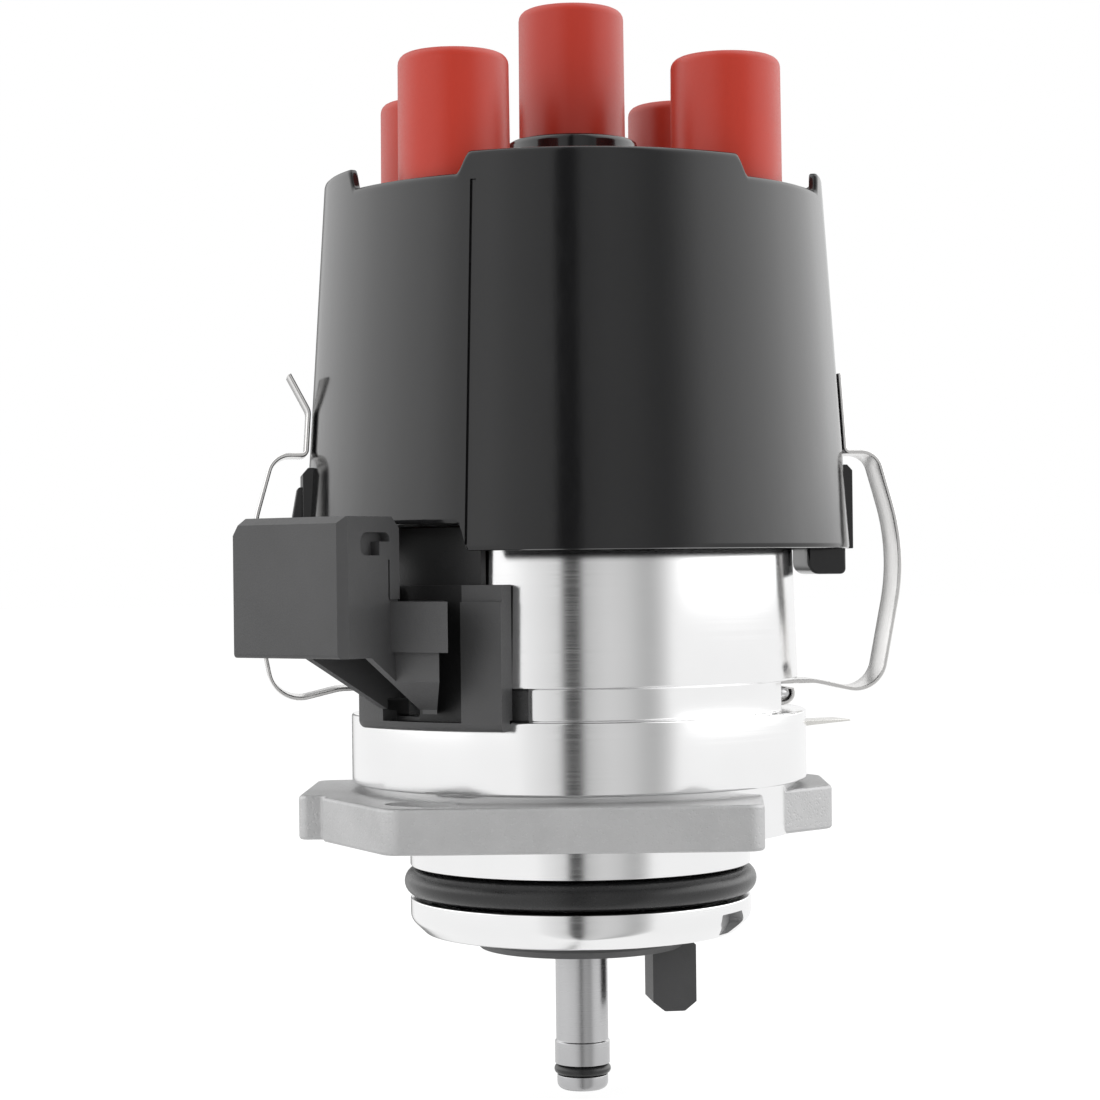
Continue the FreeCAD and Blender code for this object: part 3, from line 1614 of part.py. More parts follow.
def cut_seam(body):
    """The narrow upright groove below the left end of the front rim."""
    top = S.shield_low_rim - 1.0
    low = S.shield_bottom + 0.8
    sketch = new_sketch(body, "seam", "XZ_Plane")
    sketch.AttachmentOffset = FreeCAD.Placement(Vector(), FreeCAD.Rotation(Vector(0, 1, 0), 1.0))
    bind(sketch, ".AttachmentOffset.Rotation.Angle", S.seam_azimuth - 90)
    outline(sketch, [
        (shield_radius_at(low) - S.seam_depth, low),
        (shield_radius_at(low) + 1.0, low),
        (shield_radius_at(top) + 1.0, top),
        (shield_radius_at(top) - S.seam_depth, top),
    ])
    pocket(body, sketch, S.seam_width, both_ways=True)


def cut_connector_notch(body):
    """The arch in the shield's lower edge above the connector's arm."""
    sketch = radial_sketch(body, "notch", S.notch_azimuth, S.shield_radius - 8.0)
    half = S.notch_half_width
    low = S.shield_bottom
    high = low + S.notch_height
    outline(sketch, [(-half, low - 1.0), (half, low - 1.0), (half, high, 1.8), (-half, high, 1.8)])
    pocket(body, sketch, as_term(10.0), backwards=True)


def add_stop_tab(body):
    """The tab below the shield's edge that keeps it from turning on the housing."""
    sketch = new_sketch(body, "stop_tab", "XZ_Plane")
    outer = S.shield_radius - S.tab_inset
    outline(sketch, [
        (outer - S.tab_depth, S.tab_bottom, 1.8),
        (outer, S.tab_bottom, 0.8),
        (outer, S.shield_bottom + 1.5),
        (outer - S.tab_depth, S.shield_bottom + 1.5),
    ])
    pad(body, sketch, 2 * S.tab_half_width, both_ways=True)


# The clips, their staples and the earth blade


def make_clip(label, lean, turn):
    """A spring clip rolled from strip: eye, lower run, bow, hook and finger tab."""
    body = new_body(label)
    rolled = S.eye_radius
    run = EYE_LEVEL + rolled
    stand = S.hook_gap + S.strip_thick / 2
    hook = shield_radius_at(S.hook_level) + stand
    finger = shield_radius_at(S.finger_level) + stand
    shoulder = hook + (S.bow_reach - hook) * 0.53
    heel = S.eye_centre + (S.bow_reach - S.eye_centre) * 0.78
    path = new_sketch(body, "path", "XZ_Plane")
    vertices = [
        (finger + lean, S.finger_level + S.finger_rise),
        (finger, S.finger_level, 2.0),
        (hook, S.hook_level, 0.8),
        (shoulder, S.hook_level, (S.bow_reach - hook) * 0.46),
        (S.bow_reach, S.bow_level, S.bow_round),
        (heel, run - 2.3, 4.5),
        (S.eye_centre + 5.6, run, 9.0),
        (S.eye_centre, run),
    ]
    lines = chain(path, vertices, closed=False)
    fix_point(path, lines[0], 1, vertices[0][0], vertices[0][1])
    roll_eye(path, lines[-1])
    profile = new_sketch(body, "strip", "XY_Plane", vertices[0][1])
    half = S.strip_thick / 2
    width = S.strip_width / 2
    rectangle(profile, vertices[0][0] - half, -width, vertices[0][0] + half, width)
    pipe(body, "rolled", path, profile)
    turn_about_axis(body, turn)
    return body


def roll_eye(path, last_line):
    """End the strip's path in an open curl about the staple."""
    curl = math.radians(290)
    centre = Vector(S.eye_centre.value, EYE_LEVEL.value, 0)
    circle = Part.Circle(centre, Z_AXIS, S.eye_radius.value)
    arc = path.addGeometry(Part.ArcOfCircle(circle, math.pi / 2, math.pi / 2 + curl), False)
    path.addConstraint(Sketcher.Constraint("Horizontal", last_line))
    path.addConstraint(Sketcher.Constraint("Tangent", last_line, 2, arc, 1))
    fix_point(path, arc, 3, S.eye_centre, EYE_LEVEL)
    end = S.eye_centre + S.eye_radius * cosine(20)
    row = path.addConstraint(Sketcher.Constraint("DistanceX", -1, 1, arc, 2, end.value))
    path.renameConstraint(row, "CurlEnd")
    bind(path, "Constraints.CurlEnd", end)


def make_staple(label, turn):
    """The bent wire that holds a clip's eye against the housing."""
    body = new_body(label)
    root_x = S.eye_centre - S.staple_leg + 0.2
    half = S.staple_half_span
    path = new_sketch(body, "path", "XY_Plane", EYE_LEVEL)
    bend = S.staple_wire * 1.4
    open_path(path, [
        (root_x, -half),
        (S.eye_centre, -half, bend),
        (S.eye_centre, half, bend),
        (root_x, half),
    ])
    profile = new_sketch(body, "wire", "YZ_Plane", root_x)
    ring(profile, -half, EYE_LEVEL, S.staple_wire)
    pipe(body, "bent", path, profile)
    turn_about_axis(body, turn)
    return body


def make_earth_blade():
    """The thin tapered blade that earths the housing."""
    body = new_body("earth_blade")
    sketch = new_sketch(body, "profile", "XZ_Plane")
    near = S.skirt_radius - S.earth_seat
    low = S.earth_level - S.earth_thick / 2
    outline(sketch, [
        (near, low),
        (S.skirt_radius, low),
        (S.earth_reach, S.earth_level + 0.3),
        (S.earth_reach, S.earth_level + 0.6),
        (S.skirt_radius, low + S.earth_thick),
        (near, low + S.earth_thick),
    ])
    pad(body, sketch, S.earth_width, both_ways=True)
    turn_about_axis(body, S.earth_azimuth - 90)
    return body


# The assembly


def make_pieces():
    """Every sub-part, in the order in which the distributor goes together."""
    pieces = [
        make_housing(),
        make_ring_seal("pilot_seal", SEAL_RING_RADIUS, S.seal_section, -S.seal_depth),
        make_bush("lower_bush", RECESS_LEVEL),
        make_bush("upper_bush", S.bearing_tube_top - S.bush_length),
        make_shaft_seal(),
        make_shaft(),
        make_ring_seal(
            "shaft_tip_seal",
            S.shaft_radius - S.tip_seal_section / 2 + 0.35,
            S.tip_seal_section,
            S.tip_seal_height - S.shaft_tip,
        ),
        make_washer("lower_washer", COUPLING_TOP),
        make_washer("upper_washer", UPPER_WASHER_BASE),
        make_retaining_ring(),
        make_coupling(),
        make_coupling_pin(),
        make_shutter_wheel(),
        make_rotor(),
        make_rotor_resistor(),
        make_rotor_contact(),
        make_rotor_tip(),
        make_hall_plate(),
        make_plate_screw("plate_screw_front", 0),
        make_plate_screw("plate_screw_rear", 180),
        make_hall_sensor(),
        make_hall_magnet(),
        make_sender_lead(),
        make_lead_grommet(),
        make_connector(),
        make_dust_cover(),
        make_cap(),
        make_brush(),
        make_brush_spring(),
        make_shield(),
        make_clip("left_clip", S.left_finger_lean, 180),
        make_clip("right_clip", S.right_finger_lean, 0),
        make_staple("left_staple", 180),
        make_staple("right_staple", 0),
        make_earth_blade(),
    ]
    for number, step in enumerate((-1, 0, 1), start=1):
        pieces.append(make_blade(f"connector_blade_{number}", step))
    for number, place in enumerate(tower_places(), start=1):
        pieces.append(make_terminal(f"lead_terminal_{number}", place, S.tower_top, S.post_radius, POST_BASE))
    centre = (as_term(0), as_term(0))
    pieces.append(
        make_terminal("centre_terminal", centre, S.centre_tower_top, S.brush_radius, CENTRE_POST_BASE)
    )
    return pieces


def check_and_write(pieces):
    """Recompute, make sure that every object is sound, and write each sub-part's solid."""
    doc.recompute()
    for item in doc.Objects:
        if "Invalid" in item.State or "Error" in item.State:
            raise RuntimeError(f"{item.Name} is not sound: {item.State}")
    os.makedirs("parts", exist_ok=True)
    total = 0.0
    for piece in pieces:
        shape = piece.Shape
        if shape.isNull() or not shape.isValid() or len(shape.Solids) != 1:
            raise RuntimeError(f"{piece.Label} is not one valid solid")
        total += shape.Volume
        shape.exportStep(f"parts/{piece.Label}.step")
    print(f"{len(pieces)} sub-parts, {total / 1000:.1f} cubic centimetres")


check_and_write(make_pieces())
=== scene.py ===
"""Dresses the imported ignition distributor: finishes, smooth shapes, studio and camera.

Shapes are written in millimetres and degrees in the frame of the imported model: Z is the shaft axis,
Z = 0 the flange's seat, and azimuths are counted from -Y, the front, towards +X.
"""

from __future__ import annotations

import logging
import math
from dataclasses import dataclass
from enum import Enum
from typing import Callable, Iterable, Sequence, Union

import bmesh
import bpy
from mathutils import Matrix, Vector


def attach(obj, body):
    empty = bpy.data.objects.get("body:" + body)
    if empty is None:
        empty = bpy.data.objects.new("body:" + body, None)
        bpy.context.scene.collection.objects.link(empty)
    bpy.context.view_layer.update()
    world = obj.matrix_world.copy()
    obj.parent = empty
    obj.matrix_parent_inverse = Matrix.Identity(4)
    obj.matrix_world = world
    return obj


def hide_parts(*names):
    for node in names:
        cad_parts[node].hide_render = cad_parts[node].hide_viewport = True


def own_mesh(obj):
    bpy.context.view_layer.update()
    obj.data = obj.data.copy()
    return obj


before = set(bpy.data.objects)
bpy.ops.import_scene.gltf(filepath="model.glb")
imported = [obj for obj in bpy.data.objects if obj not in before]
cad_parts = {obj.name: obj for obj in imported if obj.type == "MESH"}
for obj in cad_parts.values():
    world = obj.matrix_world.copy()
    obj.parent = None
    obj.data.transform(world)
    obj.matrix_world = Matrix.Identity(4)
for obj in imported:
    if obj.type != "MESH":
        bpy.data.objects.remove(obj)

LOG = logging.getLogger("distributor")
MM = 0.001
ROOT = "distributor_body"
SHAFT = "shaft_group"

Corner = Sequence[float]  # across, up and, where it is rounded, a radius
Point = tuple[float, float]
Corners = tuple[Corner, ...]
Points = tuple[Point, ...]
Place = tuple[float, float, float]
Colour = tuple[float, float, float]
Shape = bmesh.types.BMesh
Piece = bpy.types.Object
Socket = bpy.types.NodeSocket
Setting = Union[str, int, float, bool]
Feeds = dict[Union[str, int], Union[Socket, Setting, tuple[float, ...]]]


# Finishes


@dataclass(frozen=True)
class Texture:
    """A surface structure, laid out on the object's own coordinates.

    Attributes:
        stretch: Pattern repeats per metre along X, Y and Z for the fine grain.
        detail: Noise detail of the fine grain.
        depth: Bump distance of the fine grain in metres.
        cloud: Repeats per metre of the broad variation.
        pits: Repeats per metre of the pores, or 0 for none.
    """

    stretch: Place
    detail: float
    depth: float
    cloud: float
    pits: float = 0.0


class Grain(Enum):
    """The surface structures that a finish can show close up."""

    LACQUER = Texture((900.0, 900.0, 260.0), 3.0, 0.00004, 45.0)
    MOULDED = Texture((3600.0,) * 3, 4.0, 0.00005, 90.0)
    TURNED = Texture((12.0, 12.0, 5200.0), 3.0, 0.00001, 60.0)
    CAST = Texture((1500.0,) * 3, 6.0, 0.00012, 110.0, 1900.0)
    ROLLED = Texture((260.0, 5200.0, 260.0), 4.0, 0.00002, 120.0)
    RUBBER = Texture((2100.0,) * 3, 3.0, 0.00004, 150.0)
    SINTERED = Texture((2600.0,) * 3, 4.0, 0.00006, 200.0, 3000.0)


NOISE_ROUGHNESS = 0.6
CLOUD_DETAIL = 4.0
MIDDLE: Point = (0.3, 0.7)  # the noise values that a range is spread over
PORE: Point = (0.12, 0.38)  # distances from a pore's centre to its floor and its rim
LEAST_ROUGH = 0.03
CLOUD_RELIEF = 0.3  # as a share of the fine grain's
CLOUD_DEPTH = 3.0  # times the fine grain's


class Bench:
    """A node tree under construction."""

    def __init__(self, tree: bpy.types.NodeTree) -> None:
        """Work on a tree."""
        self.tree = tree

    def add(self, kind: str, feeds: Feeds | None = None, **settings: Setting) -> bpy.types.Node:
        """Add a node.

        Args:
            kind: Blender's name for the node's type.
            feeds: What its inputs get, by name or number: a socket to link or a value.
            **settings: Properties of the node to set.

        Returns:
            The new node.
        """
        node = self.tree.nodes.new(kind)
        for key, value in settings.items():
            setattr(node, key, value)
        for key, value in (feeds or {}).items():
            if isinstance(value, Socket):
                self.tree.links.new(value, node.inputs[key])
            else:
                node.inputs[key].default_value = value
        return node

    def math(self, operation: str, first: Socket, second: Socket | float) -> Socket:
        """The result of an operation on two values."""
        return self.add("ShaderNodeMath", {0: first, 1: second}, operation=operation).outputs[0]

    def spread(self, factor: Socket, source: Point, target: Point = (0.0, 1.0)) -> Socket:
        """Map a value from one range to another, clamped.

        Args:
            factor: The value's socket.
            source: The range it comes from.
            target: The range it goes to.

        Returns:
            The mapped value's socket.
        """
        names = ("From Min", "From Max", "To Min", "To Max")
        feeds: Feeds = {"Value": factor, **dict(zip(names, source + target))}
        return self.add("ShaderNodeMapRange", feeds).outputs["Result"]


class Surface(Bench):
    """The node tree of one material."""

    def __init__(self, name: str) -> None:
        """Start a material with an empty node tree."""
        self.material = bpy.data.materials.new(name)
        self.material.use_nodes = True
        super().__init__(self.material.node_tree)
        self.tree.nodes.clear()

    def coordinates(self, scale: Sequence[float]) -> Socket:
        """Object coordinates stretched by a scale."""
        place = self.add("ShaderNodeTexCoord").outputs["Object"]
        return self.add("ShaderNodeMapping", {"Vector": place, "Scale": tuple(scale)}).outputs[0]

    def noise(self, scale: Sequence[float], detail: float) -> Socket:
        """Noise from 0 to 1, with its repeats per metre along X, Y and Z.

        Args:
            scale: The repeats.
            detail: How many finer layers it has.

        Returns:
            The noise's socket.
        """
        feeds: Feeds = {"Scale": 1.0, "Detail": detail, "Roughness": NOISE_ROUGHNESS}
        feeds["Vector"] = self.coordinates(scale)
        return self.add("ShaderNodeTexNoise", feeds).outputs["Fac"]

    def pits(self, scale: float) -> Socket:
        """Small round pores, 0 in a pore and 1 elsewhere."""
        feeds: Feeds = {"Scale": 1.0, "Vector": self.coordinates((scale,) * 3)}
        return self.spread(self.add("ShaderNodeTexVoronoi", feeds).outputs["Distance"], PORE)

    def blend(self, factor: Socket, first: Colour, second: Colour) -> Socket:
        """A colour between two colours."""
        feeds: Feeds = {0: factor, 6: (*first, 1.0), 7: (*second, 1.0)}
        return self.add("ShaderNodeMix", feeds, data_type="RGBA").outputs[2]

    def bump(
        self, height: Socket, strength: float, depth: float, under: Socket | None = None
    ) -> Socket:
        """A normal raised by a height.

        Args:
            height: The height's socket.
            strength: How much of the height shows.
            depth: The height's size in metres.
            under: A normal to build on.

        Returns:
            The normal's socket.
        """
        feeds: Feeds = {"Height": height, "Strength": strength, "Distance": depth}
        if under is not None:
            feeds["Normal"] = under
        return self.add("ShaderNodeBump", feeds).outputs["Normal"]

    def close(self, shader: Socket) -> bpy.types.Material:
        """End the tree at a shader."""
        self.add("ShaderNodeOutputMaterial", {"Surface": shader})
        return self.material


@dataclass(frozen=True)
class Finish:
    """One finish of the distributor.

    Attributes:
        name: The material's name.
        colour: Base colour, linear.
        grain: The structure it shows close up.
        metal: 1 for bare metal.
        roughness: Mean roughness.
        wander: How far the roughness strays either way.
        shade: How much darker the colour gets in its darkest clouds, as a share.
        relief: Strength of the bump.
    """

    name: str
    colour: Colour
    grain: Grain
    metal: float = 0.0
    roughness: float = 0.45
    wander: float = 0.08
    shade: float = 0.15
    relief: float = 0.3

    def material(self) -> bpy.types.Material:
        """The finish's material, built the first time it is asked for.

        Returns:
            The material.
        """
        label = f"finish_{self.name}"
        known = bpy.data.materials.get(label)
        return known if known is not None else self._build(label)

    def _build(self, label: str) -> bpy.types.Material:
        """Build the finish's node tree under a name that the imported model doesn't use.

        Args:
            label: That name.

        Returns:
            The new material.
        """
        grain = self.grain.value
        bench = Surface(label)
        fine = bench.noise(grain.stretch, grain.detail)
        cloud = bench.noise((grain.cloud,) * 3, CLOUD_DETAIL)
        dark = tuple(channel * (1.0 - self.shade) for channel in self.colour)
        rough = (max(LEAST_ROUGH, self.roughness - self.wander), self.roughness + self.wander)
        normal = bench.bump(fine, self.relief, grain.depth)
        if grain.pits:
            normal = bench.bump(bench.pits(grain.pits), self.relief, grain.depth, normal)
        relief, depth = self.relief * CLOUD_RELIEF, grain.depth * CLOUD_DEPTH
        feeds: Feeds = {
            "Base Color": bench.blend(bench.spread(cloud, MIDDLE), dark, self.colour),
            "Metallic": self.metal,
            "Roughness": bench.spread(fine, MIDDLE, rough),
            "Normal": bench.bump(cloud, relief, depth, normal),
        }
        return bench.close(bench.add("ShaderNodeBsdfPrincipled", feeds).outputs["BSDF"])


SHIELD_LACQUER = Finish(
    "shield_lacquer", (0.007, 0.007, 0.0075), Grain.LACQUER, 0.0, 0.13, 0.025, 0.25, 0.1
)
CAP_RED = Finish("cap_red", (0.40, 0.020, 0.005), Grain.MOULDED, 0.0, 0.42, 0.06, 0.06, 0.12)
ROTOR_RED = Finish("rotor_red", (0.34, 0.035, 0.02), Grain.MOULDED, 0.0, 0.5, 0.08, 0.2, 0.25)
TURNED_BARREL = Finish(
    "turned_barrel", (0.87, 0.87, 0.872), Grain.TURNED, 1.0, 0.15, 0.03, 0.03, 0.07
)
CAST_FLANGE = Finish("cast_flange", (0.48, 0.48, 0.482), Grain.CAST, 0.54, 0.5, 0.08, 0.12, 0.3)
# Black rubber of the seals; the same finish is also the painted shade on the cap bowl's lower outer
# faces
SEAL_AND_SHADE_BLACK = Finish("seal_and_shade_black", (0.012, 0.012, 0.0125), Grain.RUBBER, 0.0, 0.3, 0.05, 0.3, 0.2)
PLUG_BLACK = Finish("plug_black", (0.053, 0.053, 0.054), Grain.MOULDED, 0.0, 0.46, 0.06, 0.15, 0.5)
# Painted shade: near-black for the side plug's moulding where it lies between its ribs
PAINTED_SHADE_BLACK = Finish("painted_shade_black", (0.014, 0.014, 0.0145), Grain.MOULDED, 0.0, 0.42, 0.06, 0.2, 0.4)
GREY_MOULDING = Finish(
    "grey_moulding", (0.05, 0.05, 0.052), Grain.MOULDED, 0.0, 0.5, 0.07, 0.2, 0.4
)
GROUND_STEEL = Finish("ground_steel", (0.50, 0.50, 0.506), Grain.TURNED, 1.0, 0.3, 0.05, 0.08, 0.15)
SPRING_STRIP = Finish("spring_strip", (0.80, 0.79, 0.78), Grain.ROLLED, 1.0, 0.24, 0.07, 0.1, 0.3)
TINNED_BLADE = Finish("tinned_blade", (0.78, 0.77, 0.74), Grain.ROLLED, 1.0, 0.3, 0.08, 0.15, 0.3)
CONTACT_BRASS = Finish("contact_brass", (0.72, 0.50, 0.22), Grain.ROLLED, 1.0, 0.28, 0.08, 0.2, 0.3)
BEARING_BRONZE = Finish(
    "bearing_bronze", (0.50, 0.33, 0.17), Grain.SINTERED, 1.0, 0.45, 0.1, 0.25, 0.6
)
BRUSH_CARBON = Finish("brush_carbon", (0.03, 0.03, 0.032), Grain.SINTERED, 0.0, 0.55, 0.1, 0.3, 0.5)
MAGNET_GREY = Finish("magnet_grey", (0.06, 0.058, 0.056), Grain.SINTERED, 0.0, 0.6, 0.08, 0.3, 0.5)
RESISTOR_GLAZE = Finish(
    "resistor_glaze", (0.62, 0.57, 0.45), Grain.MOULDED, 0.0, 0.25, 0.06, 0.15, 0.15
)


# Shaping


def soften(corners: Sequence[Corner], closed: bool = True, steps: int = 5) -> list[Point]:
    """Round the corners of an outline.

    Args:
        corners: Points as (x, y) or (x, y, radius).
        closed: Whether the outline returns to its start.
        steps: Straight pieces in each rounded corner.

    Returns:
        The points of the softened outline.
    """
    count = len(corners)
    points: list[Point] = []
    for index, corner in enumerate(corners):
        here = Vector(corner[:2])
        inner = closed or 0 < index < count - 1
        if len(corner) < 3 or not inner:
            points.append((here.x, here.y))
            continue
        back = Vector(corners[index - 1][:2]) - here
        ahead = Vector(corners[(index + 1) % count][:2]) - here
        half = back.angle(ahead) / 2
        cut = min(corner[2] / math.tan(half), 0.49 * back.length, 0.49 * ahead.length)
        radius = cut * math.tan(half)
        inward = (back.normalized() + ahead.normalized()).normalized()
        centre = here + inward * (radius / math.sin(half))
        start = here + back.normalized() * cut - centre
        stop = here + ahead.normalized() * cut - centre
        sweep = start.angle_signed(stop)
        for step in range(steps + 1):
            turned_by = Matrix.Rotation(-sweep * step / steps, 2)
            place = centre + turned_by @ start
            points.append((place.x, place.y))
    return points


def turned(corners: Sequence[Corner], segments: int = 144) -> Shape:
    """Turn an outline of (radius, height) corners about the axis.

    Args:
        corners: The section, with optional rounding radii.
        segments: Divisions of the full turn.

    Returns:
        The turned mesh, in millimetres.
    """
    capped = corners[0][0] == 0 and corners[-1][0] == 0
    section = soften(corners, closed=not capped)
    mesh = bmesh.new()
    columns = []
    for step in range(segments):
        angle = 2 * math.pi * step / segments
        across, along = math.cos(angle), math.sin(angle)
        columns.append([mesh.verts.new((r * across, r * along, z)) for r, z in section])
    skin(mesh, columns, len(section) - int(capped))
    bmesh.ops.remove_doubles(mesh, verts=mesh.verts, dist=1e-5)
    bmesh.ops.recalc_face_normals(mesh, faces=mesh.faces)
    return mesh


def skin(mesh: Shape, columns: list[list[bmesh.types.BMVert]], rows: int) -> None:
    """Join columns of vertices to their neighbours all the way round the axis.

    Args:
        mesh: The mesh that the columns are in.
        columns: The columns, all of one length.
        rows: Faces in each column; one fewer than its vertices leaves it open.
    """
    for here, there in zip(columns, columns[1:] + columns[:1]):
        for row in range(rows):
            after = (row + 1) % len(here)
            mesh.faces.new((here[row], there[row], there[after], here[after]))


def prism(corners: Sequence[Corner], low: float, high: float, edge: float = 0.0) -> Shape:
    """Raise a flat outline along Z.

    Args:
        corners: The outline in X and Y, with optional rounding radii.
        low: Bottom height.
        high: Top height.
        edge: Width of the softened top and bottom edges.

    Returns:
        The raised mesh, in millimetres.
    """
    mesh = bmesh.new()
    face = mesh.faces.new([mesh.verts.new((x, y, low)) for x, y in soften(corners)])
    raised = bmesh.ops.extrude_face_region(mesh, geom=[face])
    moved = [item for item in raised["geom"] if isinstance(item, bmesh.types.BMVert)]
    bmesh.ops.translate(mesh, vec=(0, 0, high - low), verts=moved)
    bmesh.ops.recalc_face_normals(mesh, faces=mesh.faces)
    if edge:
        rims = [item for item in mesh.edges if level(item)]
        bevel(mesh, rims, edge, 3)
    return mesh


def level(edge: bmesh.types.BMEdge) -> bool:
    """Whether an edge lies flat."""
    return abs(edge.verts[0].co.z - edge.verts[1].co.z) < 1e-6


def bevel(mesh: Shape, edges: list[bmesh.types.BMEdge], width: float, segments: int) -> None:
    """Soften edges of a mesh."""
    bmesh.ops.bevel(
        mesh, geom=edges, offset=width, segments=segments, profile=0.5, affect="EDGES",
        clamp_overlap=True,
    )


def placed(mesh: Shape, matrix: Matrix) -> Shape:
    """Move a mesh by a matrix and return it."""
    bmesh.ops.transform(mesh, matrix=matrix, verts=mesh.verts)
    return mesh


def spun(degrees: float) -> Matrix:
    """A turn about the shaft axis."""
    return Matrix.Rotation(math.radians(degrees), 4, "Z")


def upright() -> Matrix:
    """Stand a flat outline up: its Y becomes Z, and what was raised along Z points to -Y."""
    return Matrix.Rotation(math.radians(90), 4, "X")


def facing(azimuth: float) -> Matrix:
    """Stand an outline up and face it outwards at an azimuth."""
    return spun(azimuth) @ upright()


def combined(meshes: Iterable[Shape]) -> Shape:
    """Put several meshes into one.

    Args:
        meshes: The meshes; they are freed.

    Returns:
        One mesh with all of them.
    """
    whole = bmesh.new()
    for index, mesh in enumerate(meshes):
        part = bpy.data.meshes.new(f"part_{index}")
        mesh.to_mesh(part)
        mesh.free()
        whole.from_mesh(part)
        bpy.data.meshes.remove(part)
    return whole


def solid(name: str, mesh: Shape, finishes: Sequence[Finish]) -> Piece:
    """Make an object of a mesh in millimetres.

    Args:
        name: The object's name.
        mesh: The shape, in millimetres; it is freed.
        finishes: Finishes for the mesh's material slots.

    Returns:
        The object, in metres, at the origin.
    """
    bmesh.ops.scale(mesh, vec=(MM,) * 3, verts=mesh.verts)
    data = bpy.data.meshes.new(name)
    mesh.to_mesh(data)
    mesh.free()
    for finish in finishes:
        data.materials.append(finish.material())
    return linked(name, data)


def linked(name: str, data: bpy.types.ID) -> Piece:
    """A new object of the scene with the given data.

    Args:
        name: The object's name.
        data: A mesh, a lamp or a camera.

    Returns:
        The object.
    """
    piece = bpy.data.objects.new(name, data)
    bpy.context.scene.collection.objects.link(piece)
    return piece


def smoothed(piece: Piece, angle: float = 32.0) -> Piece:
    """Shade a piece smooth, with sharp edges above an angle in degrees.

    Args:
        piece: The piece.
        angle: The angle.

    Returns:
        The same piece.
    """
    piece.data.shade_smooth()
    piece.data.set_sharp_from_angle(angle=math.radians(angle))
    return piece


def evened(piece: Piece, angle: float = 32.0) -> Piece:
    """Shade a piece smooth so that its large faces stay flat between softened edges.

    Args:
        piece: The piece.
        angle: The angle above which an edge stays sharp.

    Returns:
        The same piece.
    """
    smoothed(piece, angle)
    step = piece.modifiers.new("even", "WEIGHTED_NORMAL")
    step.keep_sharp = True
    return baked(piece)


def baked(piece: Piece) -> Piece:
    """Replace a piece's mesh by the result of its modifiers and remove them.

    Args:
        piece: The piece.

    Returns:
        The same piece.
    """
    graph = bpy.context.evaluated_depsgraph_get()
    result = bpy.data.meshes.new_from_object(piece.evaluated_get(graph))
    piece.modifiers.clear()
    old = piece.data
    piece.data = result
    bpy.data.meshes.remove(old)
    return piece


def carved(piece: Piece, cutters: Iterable[Shape]) -> Piece:
    """Cut meshes out of a piece.

    Args:
        piece: The object to cut.
        cutters: Closed meshes in millimetres; they are freed.

    Returns:
        The same object with its mesh cut.
    """
    tools = []
    for cutter in cutters:
        tool = solid("cutter", cutter, [])
        step = piece.modifiers.new("cut", "BOOLEAN")
        step.operation = "DIFFERENCE"
        step.solver = "EXACT"
        step.object = tool
        tools.append(tool)
    baked(piece)
    for tool in tools:
        data = tool.data
        bpy.data.objects.remove(tool)
        bpy.data.meshes.remove(data)
    return piece


def refined(node: str, name: str, finish: Finish, edge: float) -> Piece:
    """A merged copy of a CAD node with softened edges.

    Args:
        node: The CAD node to copy.
        name: The new piece's name.
        finish: Its finish.
        edge: Width of the softened edges in millimetres.

    Returns:
        The new piece.
    """
    mesh = bmesh.new()
    mesh.from_mesh(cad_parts[node].data)
    bmesh.ops.remove_doubles(mesh, verts=mesh.verts, dist=2e-6)
    flat, sharp = math.radians(1.0), math.radians(30)
    bmesh.ops.dissolve_limit(mesh, angle_limit=flat, verts=mesh.verts, edges=mesh.edges)
    edges = [item for item in mesh.edges if item.is_manifold and item.calc_face_angle() > sharp]
    bevel(mesh, edges, edge * MM, 2)
    bmesh.ops.scale(mesh, vec=(1 / MM,) * 3, verts=mesh.verts)
    return evened(solid(name, mesh, [finish]), 40.0)


def fitted(piece: Piece, body: str, node: str) -> Piece:
    """Hang a finished piece on its body in place of a CAD node.

    Args:
        piece: The piece.
        body: The body that carries it.
        node: The CAD node that it stands for.

    Returns:
        The same piece.
    """
    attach(piece, body)
    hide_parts(node)
    LOG.info("%s: %d faces in place of %s", piece.name, len(piece.data.polygons), node)
    return piece


# Geometry node trees


